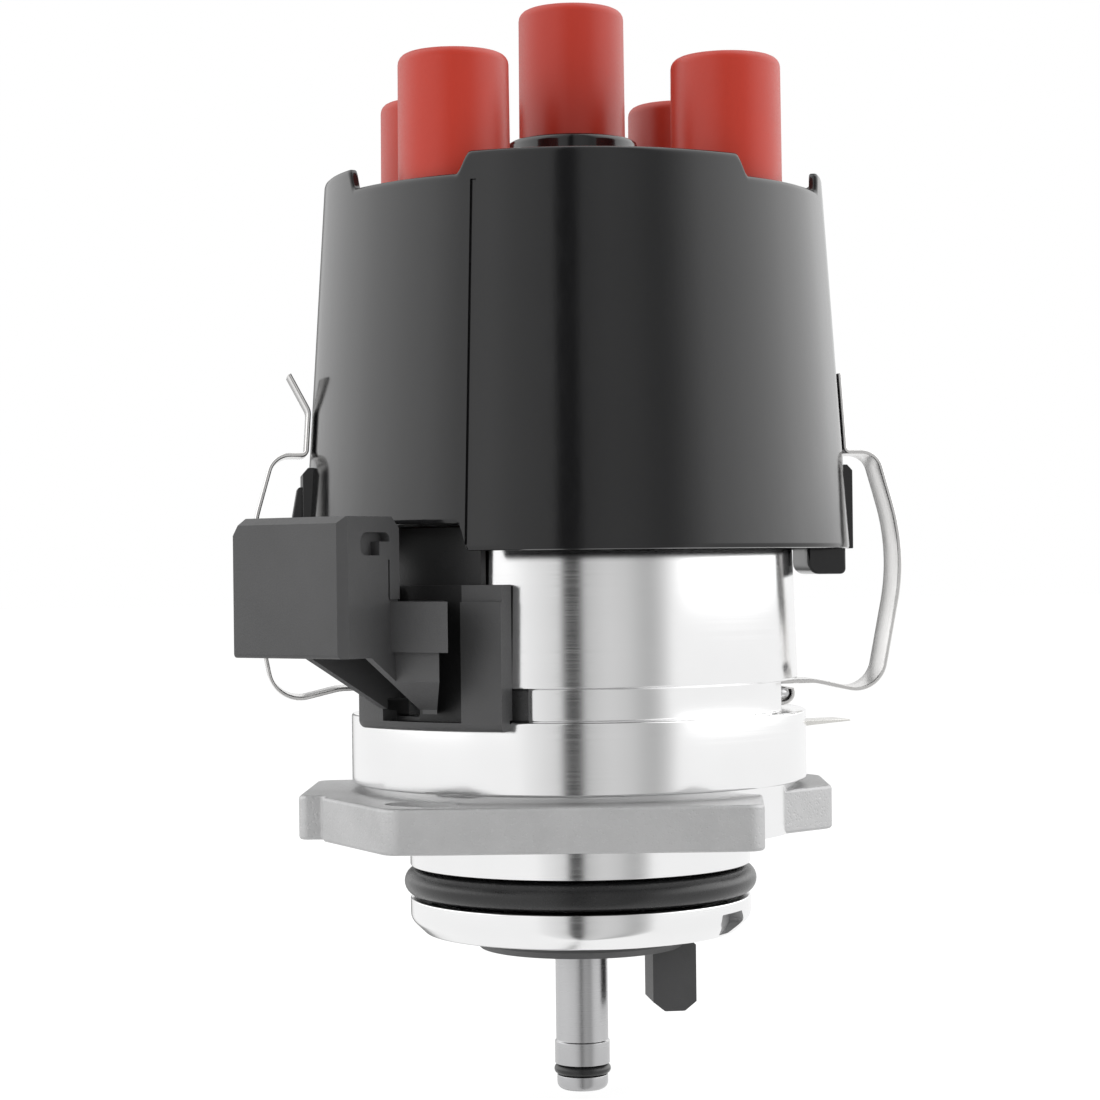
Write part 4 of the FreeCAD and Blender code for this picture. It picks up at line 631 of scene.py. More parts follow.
class GeometryTree(Bench):
    """A geometry node tree with named inputs that ends in Realize Instances and Set Material."""

    KINDS: dict[type, str] = {float: "NodeSocketFloat", int: "NodeSocketInt"}

    def __init__(self, name: str, sizes: dict[str, float | int]) -> None:
        """Start a tree.

        Args:
            name: The tree's name.
            sizes: Its named inputs and their values.
        """
        super().__init__(bpy.data.node_groups.new(name, "GeometryNodeTree"))
        self.sizes = sizes
        self._socket("Geometry", "INPUT", "NodeSocketGeometry")
        self._socket("Geometry", "OUTPUT", "NodeSocketGeometry")
        for label, value in sizes.items():
            self._socket(label, "INPUT", self.KINDS[type(value)])
        self._socket("Material", "INPUT", "NodeSocketMaterial")
        self.entry = self.add("NodeGroupInput")

    def _socket(self, label: str, side: str, kind: str) -> None:
        """Add a socket to the tree's interface."""
        self.tree.interface.new_socket(label, in_out=side, socket_type=kind)

    def size(self, label: str) -> Socket:
        """The socket of a named input."""
        return self.entry.outputs[label]

    def swept(self, section: Socket) -> GeometryTree:
        """Draw a section along the line that the tree is given, and end the tree.

        Args:
            section: The socket of the section's curve.

        Returns:
            The tree.
        """
        line = self.add("GeometryNodeMeshToCurve", {"Mesh": self.size("Geometry")})
        feeds: Feeds = {"Curve": line.outputs["Curve"], "Profile Curve": section}
        sweep = self.add("GeometryNodeCurveToMesh", {**feeds, "Fill Caps": True})
        return self.close(sweep.outputs["Mesh"])

    def repeated(self, points: Socket) -> GeometryTree:
        """Put what the tree is given on each point, and end the tree."""
        feeds: Feeds = {"Points": points, "Instance": self.size("Geometry")}
        return self.close(self.add("GeometryNodeInstanceOnPoints", feeds).outputs["Instances"])

    def close(self, geometry: Socket) -> GeometryTree:
        """End the tree at a geometry socket.

        Args:
            geometry: The socket.

        Returns:
            The tree.
        """
        whole = self.add("GeometryNodeRealizeInstances", {"Geometry": geometry})
        feeds: Feeds = {"Geometry": whole.outputs["Geometry"], "Material": self.size("Material")}
        painted = self.add("GeometryNodeSetMaterial", feeds)
        self.add("NodeGroupOutput", {"Geometry": painted.outputs["Geometry"]})
        return self

    def run(self, piece: Piece, finish: Finish) -> Piece:
        """Apply the tree to a piece.

        Args:
            piece: The object that gives the tree its geometry.
            finish: The finish of the result.

        Returns:
            The piece with the tree's result as its mesh.
        """
        modifier = piece.modifiers.new(self.tree.name, "NODES")
        modifier.node_group = self.tree
        values: dict[str, object] = {**self.sizes, "Material": finish.material()}
        for item in self.tree.interface.items_tree:
            if item.in_out == "INPUT" and item.name in values:
                modifier[item.identifier] = values[item.name]
        baked(piece)
        if not piece.data.materials:
            piece.data.materials.append(finish.material())
        return piece


def path_piece(name: str, points: Sequence[Sequence[float]]) -> Piece:
    """An object whose mesh is an open line through points in millimetres.

    Args:
        name: The object's name.
        points: The points.

    Returns:
        The object.
    """
    data = bpy.data.meshes.new(name)
    places = [tuple(value * MM for value in point) for point in points]
    data.from_pydata(places, [(i, i + 1) for i in range(len(places) - 1)], [])
    return linked(name, data)


def strip_tree(name: str, width: float, thick: float, rounding: float) -> GeometryTree:
    """A tree that rolls a flat strip with rounded edges along a line.

    Args:
        name: The tree's name.
        width: Strip width in millimetres.
        thick: Strip thickness in millimetres.
        rounding: Radius of the strip's edges in millimetres.

    Returns:
        The tree.
    """
    sizes = {"Width": width * MM, "Thickness": thick * MM, "Edge": rounding * MM}
    tree = GeometryTree(name, sizes)
    feeds: Feeds = {"Width": tree.size("Width"), "Height": tree.size("Thickness")}
    flat = tree.add("GeometryNodeCurvePrimitiveQuadrilateral", feeds)
    feeds = {"Curve": flat.outputs["Curve"], "Radius": tree.size("Edge"), "Count": 3}
    section = tree.add("GeometryNodeFilletCurve", feeds, mode="POLY")
    return tree.swept(section.outputs["Curve"])


def wire_tree(name: str, radius: float) -> GeometryTree:
    """A tree that draws a round wire along a line.

    Args:
        name: The tree's name.
        radius: The wire's radius in millimetres.

    Returns:
        The tree.
    """
    tree = GeometryTree(name, {"Radius": radius * MM, "Sides": 20})
    feeds: Feeds = {"Radius": tree.size("Radius"), "Resolution": tree.size("Sides")}
    section = tree.add("GeometryNodeCurvePrimitiveCircle", feeds, mode="RADIUS")
    return tree.swept(section.outputs["Curve"])


def ring_tree(name: str, count: int, radius: float) -> GeometryTree:
    """A tree that repeats a piece on a circle, starting on the diagonal.

    Args:
        name: The tree's name.
        count: How many times.
        radius: The circle's radius in millimetres.

    Returns:
        The tree.
    """
    tree = GeometryTree(name, {"Count": count, "Circle": radius * MM})
    feeds: Feeds = {"Vertices": tree.size("Count"), "Radius": tree.size("Circle")}
    circle = tree.add("GeometryNodeMeshCircle", feeds)
    feeds = {"Geometry": circle.outputs["Mesh"], "Rotation": (0.0, 0.0, math.pi / 4)}
    return tree.repeated(tree.add("GeometryNodeTransform", feeds).outputs["Geometry"])


# The distributor's pieces


def ring_seal(name: str, body: str, node: str, ring: Corner, divisions: tuple[int, int]) -> None:
    """Make a sealing ring and fit it.

    Args:
        name: The piece's name.
        body: The body that carries it.
        node: The CAD node that it stands for.
        ring: Radius and height of the ring's centre line, and radius of its section.
        divisions: Corners of its section and of its full turn.
    """
    radius, height, wire = ring
    turns = [2 * math.pi * step / divisions[0] for step in range(divisions[0])]
    section = [(radius + wire * math.cos(turn), height + wire * math.sin(turn)) for turn in turns]
    seal = smoothed(solid(name, turned(section, divisions[1]), [SEAL_AND_SHADE_BLACK]), 60.0)
    fitted(seal, body, node)


@dataclass
class Housing:
    """The cast housing: turned pilot, skirt and barrel above and below a rough flange.

    The fields are radii and heights from the pilot up the outside and down the inside, then those
    of the clip pockets, the flange's seat and slots, and the notch in the pilot. The seal is given
    as radius and height of its centre line and radius of its section.
    """

    outline: Corners = (
        (-41.8, -14.5, 1.5), (-37.8, -14.5, 0.8), (-37.8, -17.5, 1.2),
        (-27.0, -38.0, 3.5), (26.0, -36.8, 2.5), (27.0, -16.5, 2.0), (38.4, -5.1, 4.0),
        (38.4, 14.5, 2.5), (35.4, 20.1, 2.5), (27.0, 38.0, 3.5), (-26.0, 38.0, 2.5),
        (-27.0, 16.5, 2.0), (-41.8, 14.5, 2.5),
    )

    pilot: float = 26.1
    pilot_end: float = -15.4
    pilot_bevel: float = 2.2
    recess: float = 17.6
    recess_floor: float = -12.4
    groove_floor: float = 22.7
    groove_low: float = -10.05
    groove_high: float = -5.15
    seal: Place = (24.85, -7.6, 2.15)
    flange_top: float = 6.6
    undercut: float = 1.1
    relief: float = 33.2
    skirt: float = 34.8
    skirt_top: float = 18.2
    band: float = 32.2
    band_top: float = 22.8
    barrel: float = 33.6
    rim: float = 32.8
    rim_top: float = 47.0
    ledge: float = 30.2
    ledge_floor: float = 43.0
    bowl: float = 28.8
    bowl_floor: float = 26.0
    well: float = 23.5
    well_floor: float = 4.0
    post: float = 11.0
    post_top: float = 22.0
    bore: float = 7.0
    pocket_face: float = 28.6
    pocket_end: float = 40.0
    pocket_half: float = 16.0
    seat: float = 31.0
    flange_turn: float = -8.0
    slot_circle: float = 38.7
    slot_width: float = 3.1
    slot_azimuth: float = -35.3
    slot_sweep: float = 4.2
    notch_azimuth: float = 53.5
    notch_half: float = 4.0
    notch_low: float = -14.9
    notch_high: float = -11.6
    notch_depth: float = 2.6

    def section(self) -> list[Corner]:
        """Half section of the turned part, with the small rounds of real edges.

        Returns:
            Its corners.
        """
        bevel_top = self.pilot_end + self.pilot_bevel
        undercut_top = self.flange_top + self.undercut
        return [
            (self.bore, self.recess_floor),
            (self.recess, self.recess_floor, 0.4),
            (self.recess, self.pilot_end, 0.3),
            (self.pilot - self.pilot_bevel, self.pilot_end, 0.8),
            (self.pilot, bevel_top, 2.0),
            (self.pilot, self.groove_low, 0.25),
            (self.groove_floor, self.groove_low, 0.3),
            (self.groove_floor, self.groove_high, 0.3),
            (self.pilot, self.groove_high, 0.25),
            (self.pilot, 0.0, 0.3),
            (self.relief, 0.0),
            (self.relief, undercut_top, 0.2),
            (self.skirt, undercut_top, 0.35),
            (self.skirt, self.skirt_top, 0.4),
            (self.band, self.skirt_top, 0.25),
            (self.band, self.band_top, 0.25),
            (self.barrel, self.band_top, 0.4),
            (self.rim, self.rim_top, 0.3),
            (self.ledge, self.rim_top, 0.2),
            (self.ledge, self.ledge_floor),
            (self.bowl, self.ledge_floor),
            (self.bowl, self.bowl_floor),
            (self.well, self.bowl_floor),
            (self.well, self.well_floor, 2.0),
            (self.post, self.well_floor, 2.0),
            (self.post, self.post_top),
            (self.bore, self.post_top),
        ]

    def clip_pockets(self) -> list[Shape]:
        """Cutters for the flats in the band where the clips' eyes turn.

        Returns:
            One cutter for each clip.
        """
        half = self.pocket_half
        boxes = []
        for side in (-1, 1):
            near, far = sorted((side * self.pocket_face, side * self.pocket_end))
            corners = [(near, -half), (far, -half), (far, half), (near, half)]
            boxes.append(prism(corners, self.skirt_top - 0.01, self.band_top + 0.01))
        return boxes

    def notch(self) -> Shape:
        """Cutter for the six-sided blind notch in the pilot's lower land.

        Returns:
            The cutter.
        """
        half, low, high = self.notch_half, self.notch_low, self.notch_high
        shoulder = (low + high) / 2
        corners = [
            (-half * 0.45, low, 0.4),
            (half * 0.3, low, 0.4),
            (half, shoulder, 0.4),
            (half * 0.7, high, 0.4),
            (-half * 0.9, high, 0.4),
            (-half, shoulder + 0.3, 0.4),
        ]
        cutter = prism(corners, self.pilot - self.notch_depth, self.pilot + 1.0)
        return placed(cutter, facing(self.notch_azimuth))

    def in_notch(self, face: bpy.types.MeshPolygon) -> bool:
        """Whether a face of the turned part is the notch's floor or one of its sides.

        Args:
            face: The face, in metres.

        Returns:
            True if it is.
        """
        slack = 0.1
        place = face.center / MM
        turn = facing(self.notch_azimuth)
        away, across = turn @ Vector((0.0, 0.0, 1.0)), turn @ Vector((1.0, 0.0, 0.0))
        sunk = self.pilot - place.dot(away)
        beside = abs(place.dot(across)) < self.notch_half + slack
        within = self.notch_low - slack < place.z < self.notch_high + slack
        floor = abs(sunk - self.notch_depth) < slack
        side = sunk < self.notch_depth + slack and abs(face.normal.dot(away)) < 0.2
        return beside and within and (floor or side)

    def slot(self, azimuth: float) -> Shape:
        """Cutter for one curved clamp slot of the flange.

        Args:
            azimuth: The slot's middle, before the flange is turned.

        Returns:
            The cutter.
        """
        corners: list[Point] = []
        for side in (1, -1):
            radius = self.slot_circle + side * self.slot_width
            for step in range(-4, 5):
                angle = math.radians(azimuth + side * step / 4 * self.slot_sweep)
                corners.append((radius * math.sin(angle), -radius * math.cos(angle)))
            end = math.radians(azimuth + side * self.slot_sweep)
            outward = Vector((math.sin(end), -math.cos(end)))
            along = Vector((math.cos(end), math.sin(end)))
            for step in range(1, 8):
                turn = math.pi * step / 8
                reach = (outward * math.cos(turn) + along * math.sin(turn)) * side * self.slot_width
                corners.append(tuple(outward * self.slot_circle + reach))
        return placed(prism(corners, -2.0, 9.0), spun(self.flange_turn))

    def flange(self) -> Piece:
        """The cast flange with its slots and machined seat.

        Returns:
            The piece.
        """
        plate = prism(self.outline, 0.0, self.flange_top, 0.55)
        piece = solid("flange", placed(plate, spun(self.flange_turn)), [CAST_FLANGE, TURNED_BARREL])
        centre = [(0.0, -1.0), (self.seat, -1.0), (self.seat, 8.0), (0.0, 8.0)]
        slots = [self.slot(self.slot_azimuth), self.slot(self.slot_azimuth + 180.0)]
        carved(piece, slots + [turned(centre, 96)])
        for face in piece.data.polygons:
            face.material_index = int(face.normal.z < -0.9)
        return evened(piece)

    def build(self) -> None:
        """Make the housing's pieces and fit them."""
        barrel = solid("turned_housing", turned(self.section(), 192), [TURNED_BARREL, CAST_FLANGE])
        carved(barrel, self.clip_pockets() + [self.notch()])
        for face in barrel.data.polygons:
            face.material_index = int(self.in_notch(face))
        fitted(smoothed(barrel), ROOT, "housing")
        fitted(self.flange(), ROOT, "housing")
        self.seals()

    def seals(self) -> None:
        """The pilot's sealing ring and the strip round the lead."""
        ring_seal("pilot_ring_seal", ROOT, "pilot_seal", self.seal, (30, 192))
        strip = refined("lead_grommet", "lead_strip", SEAL_AND_SHADE_BLACK, 0.2)
        fitted(strip, ROOT, "lead_grommet")


@dataclass
class ScreenedCap:
    """The red cap with its towers under the black screening shield.

    The fields are those of the towers, the height and radius that bound the bowl's faces painted
    black as painted shade, the shield's wall with its four dips and the notch in its lower edge,
    the clip catches and the seam. A dip or notch has a half width and a slope, both measured
    along the wall.
    """

    bowl: Corners = (
        (2.5, 72.5), (6.0, 72.5, 0.4), (6.0, 86.0), (32.6, 86.0, 3.0), (32.2, 51.0),
        (28.0, 49.0), (28.0, 44.6), (30.0, 44.6), (30.0, 47.0), (36.2, 47.0),
        (36.8, 47.6), (35.8, 90.0, 1.0), (2.5, 90.0),
    )
    post: Corners = ((3.0, 70.0), (5.2, 70.0, 0.4), (5.2, 87.0), (3.0, 87.0))
    boss: Points = (
        (10.9, 92.0), (10.25, 92.25), (10.0, 92.9), (10.0, 104.5), (9.85, 105.0),
        (9.4, 105.3), (8.6, 105.3), (8.3, 105.05), (8.25, 90.0),
    )
    curl: Points = (
        (0.07, 0.3), (0.3, 0.07), (0.6, 0.0), (1.1, 0.0), (1.27, 0.1), (1.33, 0.3),
    )
    fillet: Points = ((1.35, 1.0), (1.6, 0.25), (2.3, 0.0))
    tab: Corners = ((35.0, 38.6, 1.8), (41.0, 38.6, 0.8), (41.0, 44.0), (35.0, 44.0))

    tower: float = 8.05
    tower_hole: float = 8.25
    tower_circle: float = 28.4
    tower_foot: float = 89.0
    lead_bore: float = 5.0
    lead_depth: float = 16.0
    throat: float = 4.0
    throat_depth: float = 24.0
    outer_top: float = 114.6
    centre_top: float = 125.5
    roof: float = 90.0
    deck: float = 92.0
    # Height and radius that bound the bowl's lower outer faces, which are painted black as painted
    # shade
    painted_shade_top: float = 51.5
    painted_shade_inside: float = 27.0
    bottom: float = 42.5
    bottom_radius: float = 41.7
    rim: float = 98.8
    rim_radius: float = 38.0
    low_rim: float = 95.7
    dip_azimuth: float = 49.0
    dip_half: float = 11.4
    dip_slope: float = 2.2
    notch_azimuth: float = -45.0
    notch_half: float = 10.7
    notch_slope: float = 1.6
    notch_rise: float = 3.8
    pad_top: float = 55.4
    pad_proud: float = 1.2
    pad_half: float = 6.0
    wedge_low: float = 46.4
    wedge_high: float = 52.6
    wedge_half: float = 3.2
    seam_azimuth: float = -29.2
    seam_width: float = 0.9
    seam_depth: float = 0.45
    columns: int = 720

    def tower_section(self, top: float) -> list[Corner]:
        """Half section of a tower from the cap's roof to its mouth and down its bore.

        Args:
            top: The height of its mouth.

        Returns:
            Its corners.
        """
        return [
            (0.0, self.tower_foot),
            (self.tower + 0.15, self.tower_foot),
            (self.tower, top, 1.7),
            (self.lead_bore, top, 0.45),
            (self.lead_bore, top - self.lead_depth),
            (self.throat, top - self.lead_depth),
            (self.throat, top - self.throat_depth),
            (0.0, top - self.throat_depth),
        ]

    def cap(self) -> None:
        """The cap: bowl, centre tower and the four outer towers repeated on their circle."""
        parts = [turned(self.bowl, 144), turned(self.tower_section(self.centre_top), 96)]
        cap = smoothed(solid("cap_bowl", combined(parts), [CAP_RED, SEAL_AND_SHADE_BLACK]))
        # Painted shade: the bowl's faces below painted_shade_top and outside painted_shade_inside get
        # the black seal finish in place of the red
        for face in cap.data.polygons:
            place = face.center / MM
            below = place.z < self.painted_shade_top and math.hypot(*place.xy) > self.painted_shade_inside
            face.material_index = int(below)
        fitted(cap, ROOT, "distributor_cap")
        parts = [turned(self.tower_section(self.outer_top), 96), turned(self.post, 64)]
        towers = solid("lead_towers", combined(parts), [CAP_RED])
        ring_tree("towers_on_circle", 4, self.tower_circle).run(towers, CAP_RED)
        fitted(smoothed(towers), ROOT, "distributor_cap")

    def radius_at(self, height: float) -> float:
        """Outer radius of the shield at a height."""
        share = (height - self.bottom) / (self.rim - self.bottom)
        return self.bottom_radius + (self.rim_radius - self.bottom_radius) * share

    @staticmethod
    def ramp(distance: float, half: float, slope: float) -> float:
        """1 inside a half width, 0 outside it, with a rounded slope between."""
        share = min(max((half - abs(distance)) / slope + 0.5, 0.0), 1.0)
        return share * share * (3.0 - 2.0 * share)

    @staticmethod
    def apart(azimuth: float, centre: float) -> float:
        """The angle in radians between two azimuths in degrees, at most half a turn."""
        return math.radians((azimuth - centre + 180) % 360 - 180)

    def heights(self, azimuth: float) -> tuple[float, float]:
        """Heights of the shield's lower edge and rim at an azimuth in degrees.

        Args:
            azimuth: The azimuth.

        Returns:
            The lower edge's height and the rim's.
        """
        side = self.dip_azimuth
        dip = 0.0
        for centre in (side, -side, 180 - side, side - 180):
            away = self.apart(azimuth, centre) * self.rim_radius
            dip = max(dip, self.ramp(away, self.dip_half, self.dip_slope))
        away = self.apart(azimuth, self.notch_azimuth) * self.bottom_radius
        notch = self.ramp(away, self.notch_half, self.notch_slope)
        low = self.bottom + notch * self.notch_rise
        return low, self.rim - dip * (self.rim - self.low_rim)

    def section(self, azimuth: float) -> list[Point]:
        """Half section of the shield at an azimuth: outside wall, rim, well, boss and inside.

        Args:
            azimuth: The azimuth.

        Returns:
            Its points, as many at every azimuth.
        """
        low, high = self.heights(azimuth)
        foot, head = low + 0.35, high - 0.7
        levels = [foot, *(foot + 0.4 + (head - foot - 0.8) * step / 11 for step in range(12)), head]
        top, deck = self.radius_at(high), self.radius_at(self.deck)
        inside = self.bottom_radius - 1.9
        return [
            (inside, low),
            (self.radius_at(low) - 0.35, low),
            (self.radius_at(low) - 0.1, low + 0.1),
            *((self.radius_at(height), height) for height in levels),
            *((top - inset, high - drop) for inset, drop in self.curl),
            *((deck - inset, self.deck + rise) for inset, rise in self.fillet),
            (24.0, self.deck),
            *self.boss,
            (20.0, self.roof),
            (self.radius_at(self.roof) - 1.3, self.roof),
            (inside, 54.5),
        ]

    def shell(self) -> Shape:
        """The shield's shell, its rim and lower edge following the azimuth.

        Returns:
            The shell.
        """
        mesh = bmesh.new()
        rings = []
        for step in range(self.columns):
            azimuth = 360.0 * step / self.columns
            turn = math.radians(azimuth)
            across, back = math.sin(turn), -math.cos(turn)
            section = self.section(azimuth)
            rings.append([mesh.verts.new((r * across, r * back, z)) for r, z in section])
        skin(mesh, rings, len(rings[0]))
        bmesh.ops.recalc_face_normals(mesh, faces=mesh.faces)
        return mesh

    def catches(self) -> list[Shape]:
        """The catches for the clips, the left one's wedge and the stop tab below the right one.

        Returns:
            The four shapes.
        """
        top, face = self.pad_top, self.radius_at(self.pad_top) + self.pad_proud
        pad = [
            (self.bottom_radius - 1.0, self.bottom),
            (face, self.bottom, 0.15),
            (face, top - 0.9, 0.3),
            (face - 0.8, top, 0.2),
            (self.radius_at(top) - 1.0, top),
        ]
        low, high = self.radius_at(self.wedge_low), self.radius_at(self.wedge_high)
        wedge = [
            (low - 1.0, self.wedge_low),
            (low + 2.4, self.wedge_low, 0.3),
            (high + 1.68, self.wedge_high, 0.5),
            (high - 1.0, self.wedge_high),
        ]
        forms: list[tuple[Sequence[Corner], float, float, float]] = [
            (pad, self.pad_half, 0.15, 0.0),
            (pad, self.pad_half, 0.15, 180.0),
            (wedge, self.wedge_half, 0.25, 180.0),
            (self.tab, 5.5, 0.4, 0.0),
        ]
        return [
            placed(prism(corners, -half, half, edge), spun(turn) @ upright())
            for corners, half, edge, turn in forms
        ]

    def seam(self) -> Shape:
        """Cutter for the narrow upright groove below the left end of the front rim.

        Returns:
            The cutter.
        """
        low, top = self.bottom + 0.8, self.low_rim - 1.0
        corners = [
            (self.radius_at(low) - self.seam_depth, low),
            (self.radius_at(low) + 1.0, low),
            (self.radius_at(top) + 1.0, top),
            (self.radius_at(top) - self.seam_depth, top),
        ]
        half = self.seam_width / 2
        return placed(prism(corners, -half, half), facing(self.seam_azimuth - 90.0))

    def shield(self) -> None:
        """The shield: shell with tower holes, clip catches and stop tab."""
        shell = solid("shield_shell", self.shell(), [SHIELD_LACQUER])
        reach = self.tower_circle * math.cos(math.radians(45))
        low, top = self.roof - 2.0, self.deck + 2.0
        hole = [(0.0, low), (self.tower_hole, low), (self.tower_hole, top), (0.0, top)]
        holes = [
            placed(turned(hole, 64), Matrix.Translation((x, y, 0)))
            for x in (-reach, reach)
            for y in (-reach, reach)
        ]
        carved(shell, holes + [self.seam()])
        fitted(smoothed(shell, 40.0), ROOT, "cap_shield")
        pads = evened(solid("shield_catches", combined(self.catches()), [SHIELD_LACQUER]), 40.0)
        fitted(pads, ROOT, "cap_shield")

    def build(self) -> None:
        """Make the cap and its shield."""
        self.cap()
        self.shield()


@dataclass
class Clip:
    """A spring clip rolled from strip, with its staple.

    Attributes:
        name: The clip's CAD node.
        body: The body that it turns with.
        turn: How far it is turned round the axis from +X.
        lean: How far its finger leans outwards.
        eye: The eye's centre, outwards and up; the other points are the same.
        roll: The eye's radius at the strip's centre line.
        hook: Where the strip bends over the catch.
        finger: Where it bends up into the finger.
        bow: The bow's furthest corner, which is rounded off.
        finger_rise: The finger's height.
        hook_share: Where the hook's run ends, as a share of the bow's reach.
        hook_round: The radius there, as a share of the same reach.
        heel_share: Where the heel bends, as a share of the way from the eye to the bow.
        heel_drop: How far the heel hangs below the lower run.
        foot: Length of the lower run.
        width: The strip's width.
        thick: Its thickness.
        edge: The radius of its edges.
        staple_end: Where the staple's legs end inside the housing.
        staple_half: Half the distance between its legs.
        staple_wire: The radius of its wire.
    """

    name: str
    body: str
    turn: float
    lean: float
    eye: Point = (31.1, 20.5)
    roll: float = 1.65
    hook: Point = (41.371, 57.4)
    finger: Point = (40.937, 64.0)
    bow: Point = (50.65, 42.0)
    finger_rise: float = 5.5
    hook_share: float = 0.53
    hook_round: float = 0.46
    heel_share: float = 0.78
    heel_drop: float = 2.3
    foot: float = 5.6
    width: float = 9.0
    thick: float = 0.6
    edge: float = 0.18
    staple_end: float = 25.2
    staple_half: float = 5.9
    staple_wire: float = 0.9

    def path(self) -> list[Place]:
        """The strip's centre line from the finger to the end of its eye.

        Returns:
            Its points.
        """
        run = self.eye[1] + self.roll
        reach = self.bow[0] - self.hook[0]
        heel = self.eye[0] + (self.bow[0] - self.eye[0]) * self.heel_share
        corners: list[Corner] = [
            (self.finger[0] + self.lean, self.finger[1] + self.finger_rise),
            (*self.finger, 2.0),
            (*self.hook, 0.8),
            (self.hook[0] + reach * self.hook_share, self.hook[1], reach * self.hook_round),
            (*self.bow, 40.0),
            (heel, run - self.heel_drop, 6.0),
            (self.eye[0] + self.foot, run, 9.0),
            (self.eye[0], run),
        ]
        points = soften(corners, closed=False, steps=14)
        for step in range(1, 41):
            angle = math.radians(90 + 290 * step / 40)
            x, z = self.roll * math.cos(angle), self.roll * math.sin(angle)
            points.append((self.eye[0] + x, self.eye[1] + z))
        return [(x, 0.0, z) for x, z in points]

    def staple_path(self) -> list[Place]:
        """The staple's centre line.

        Returns:
            Its points.
        """
        end, half, bend = self.staple_end, self.staple_half, 1.4 * self.staple_wire
        corners = [(end, -half), (self.eye[0], -half, bend), (self.eye[0], half, bend), (end, half)]
        return [(x, y, self.eye[1]) for x, y in soften(corners, closed=False, steps=8)]

    def build(self) -> None:
        """Make the clip and its staple."""
        strip = path_piece(f"{self.name}_strip", self.path())
        tree = strip_tree(f"{self.name}_rolled", self.width, self.thick, self.edge)
        tree.run(strip, SPRING_STRIP)
        strip.data.transform(spun(self.turn))
        fitted(smoothed(strip, 45.0), self.body, self.name)
        staple = path_piece(f"{self.name}_staple", self.staple_path())
        wire_tree(f"{self.name}_wire", self.staple_wire).run(staple, GROUND_STEEL)
        staple.data.transform(spun(self.turn))
        node = self.name.replace("clip", "staple")
        fitted(smoothed(staple, 60.0), ROOT, node)


@dataclass
class SidePlug:
    """The sender's moulded connector with its three blades."""

    blade: Corners = (
        (49.3, -12.7), (50.7, -12.7), (51.4, -11.5, 0.3), (51.4, -2.2), (48.6, -2.2),
        (48.6, -11.5, 0.3),
    )

    turn: float = -134.0
    lowest: float = 32.6
    pitch: float = 5.0
    # Radius in millimetres inside which the moulding is painted near-black as painted shade
    painted_shade_radius: float = 36.5

    def blades(self) -> None:
        """The three blades, tapered at the tip and repeated up the socket."""
        blade = solid("socket_blades", prism(self.blade, -0.4, 0.4, 0.15), [TINNED_BLADE])
        sizes = {"Count": 3, "Pitch": self.pitch * MM, "Start": self.lowest * MM}
        tree = GeometryTree("blade_row", sizes)
        step, start = (
            tree.add("ShaderNodeCombineXYZ", {"Z": tree.size(label)}).outputs["Vector"]
            for label in ("Pitch", "Start")
        )
        feeds: Feeds = {"Count": tree.size("Count"), "Offset": step, "Start Location": start}
        row = tree.add("GeometryNodeMeshLine", feeds)
        tree.repeated(row.outputs["Mesh"]).run(blade, TINNED_BLADE)
        blade.data.transform(spun(self.turn))
        fitted(smoothed(blade), ROOT, "connector_blade_1")
        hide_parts("connector_blade_2", "connector_blade_3")

    def build(self) -> None:
        """Make the moulding, painted near-black as painted shade between its ribs near the axis, and
        the blades.
        """
        moulding = refined("connector_housing", "plug_moulding", PLUG_BLACK, 0.3)
        moulding.data.materials.append(PAINTED_SHADE_BLACK.material())
        # Painted shade: faces nearer the axis than painted_shade_radius get the near-black finish
        for face in moulding.data.polygons:
            face.material_index = int(face.center.xy.length < self.painted_shade_radius * MM)
        fitted(moulding, ROOT, "connector_housing")
        self.blades()


@dataclass
class DriveShaft:
    """The shaft with its tip seal and its coupling."""

    section: Corners = (
        (0.0, -40.0), (3.9, -40.0, 1.2), (3.9, -37.75, 0.1), (2.85, -37.75),
        (2.85, -36.05), (4.2, -36.05, 0.15), (4.2, -32.6, 0.15), (4.0, -32.4, 0.1),
        (4.0, 23.1), (3.4, 23.1), (3.4, 23.9), (4.0, 23.9), (4.0, 59.4), (3.4, 60.0),
        (0.0, 60.0),
    )

    seal: Place = (3.6, -36.9, 0.75)

    def build(self) -> None:
        """Make the shaft group's visible pieces."""
        shaft = smoothed(solid("ground_shaft", turned(self.section, 96), [GROUND_STEEL]))
        fitted(shaft, SHAFT, "drive_shaft")
        ring_seal("tip_ring_seal", SHAFT, "shaft_tip_seal", self.seal, (18, 72))
        coupling = refined("drive_coupling", "lug_coupling", PLUG_BLACK, 0.3)
        fitted(coupling, SHAFT, "drive_coupling")


@dataclass
class BrushSpring:
    """The coil above the carbon brush."""

    low: float = 77.65
    high: float = 82.8
    radius: float = 2.0
    wire: float = 0.225
    turns: float = 5.2
    steps: int = 187
    travel: float = 2.5

    def path(self) -> list[Place]:
        """The wire's centre line, with a flat half turn at each end.

        Returns:
            Its points.
        """
        points = []
        for step in range(self.steps + 1):
            turn = self.turns * step / self.steps
            rise = min(max((turn - 0.5) / (self.turns - 1.0), 0.0), 1.0)
            height = self.low + self.wire + (self.high - self.low - 2 * self.wire) * rise
            angle = 2 * math.pi * turn
            points.append((self.radius * math.cos(angle), self.radius * math.sin(angle), height))
        return points

    def build(self) -> None:
        """Make the coil; its upper end stays on the centre terminal."""
        coil = path_piece("brush_coil", self.path())
        smoothed(wire_tree("brush_coil_wire", self.wire).run(coil, SPRING_STRIP), 60.0)
        fitted(coil, ROOT, "brush_spring")
        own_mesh(coil)


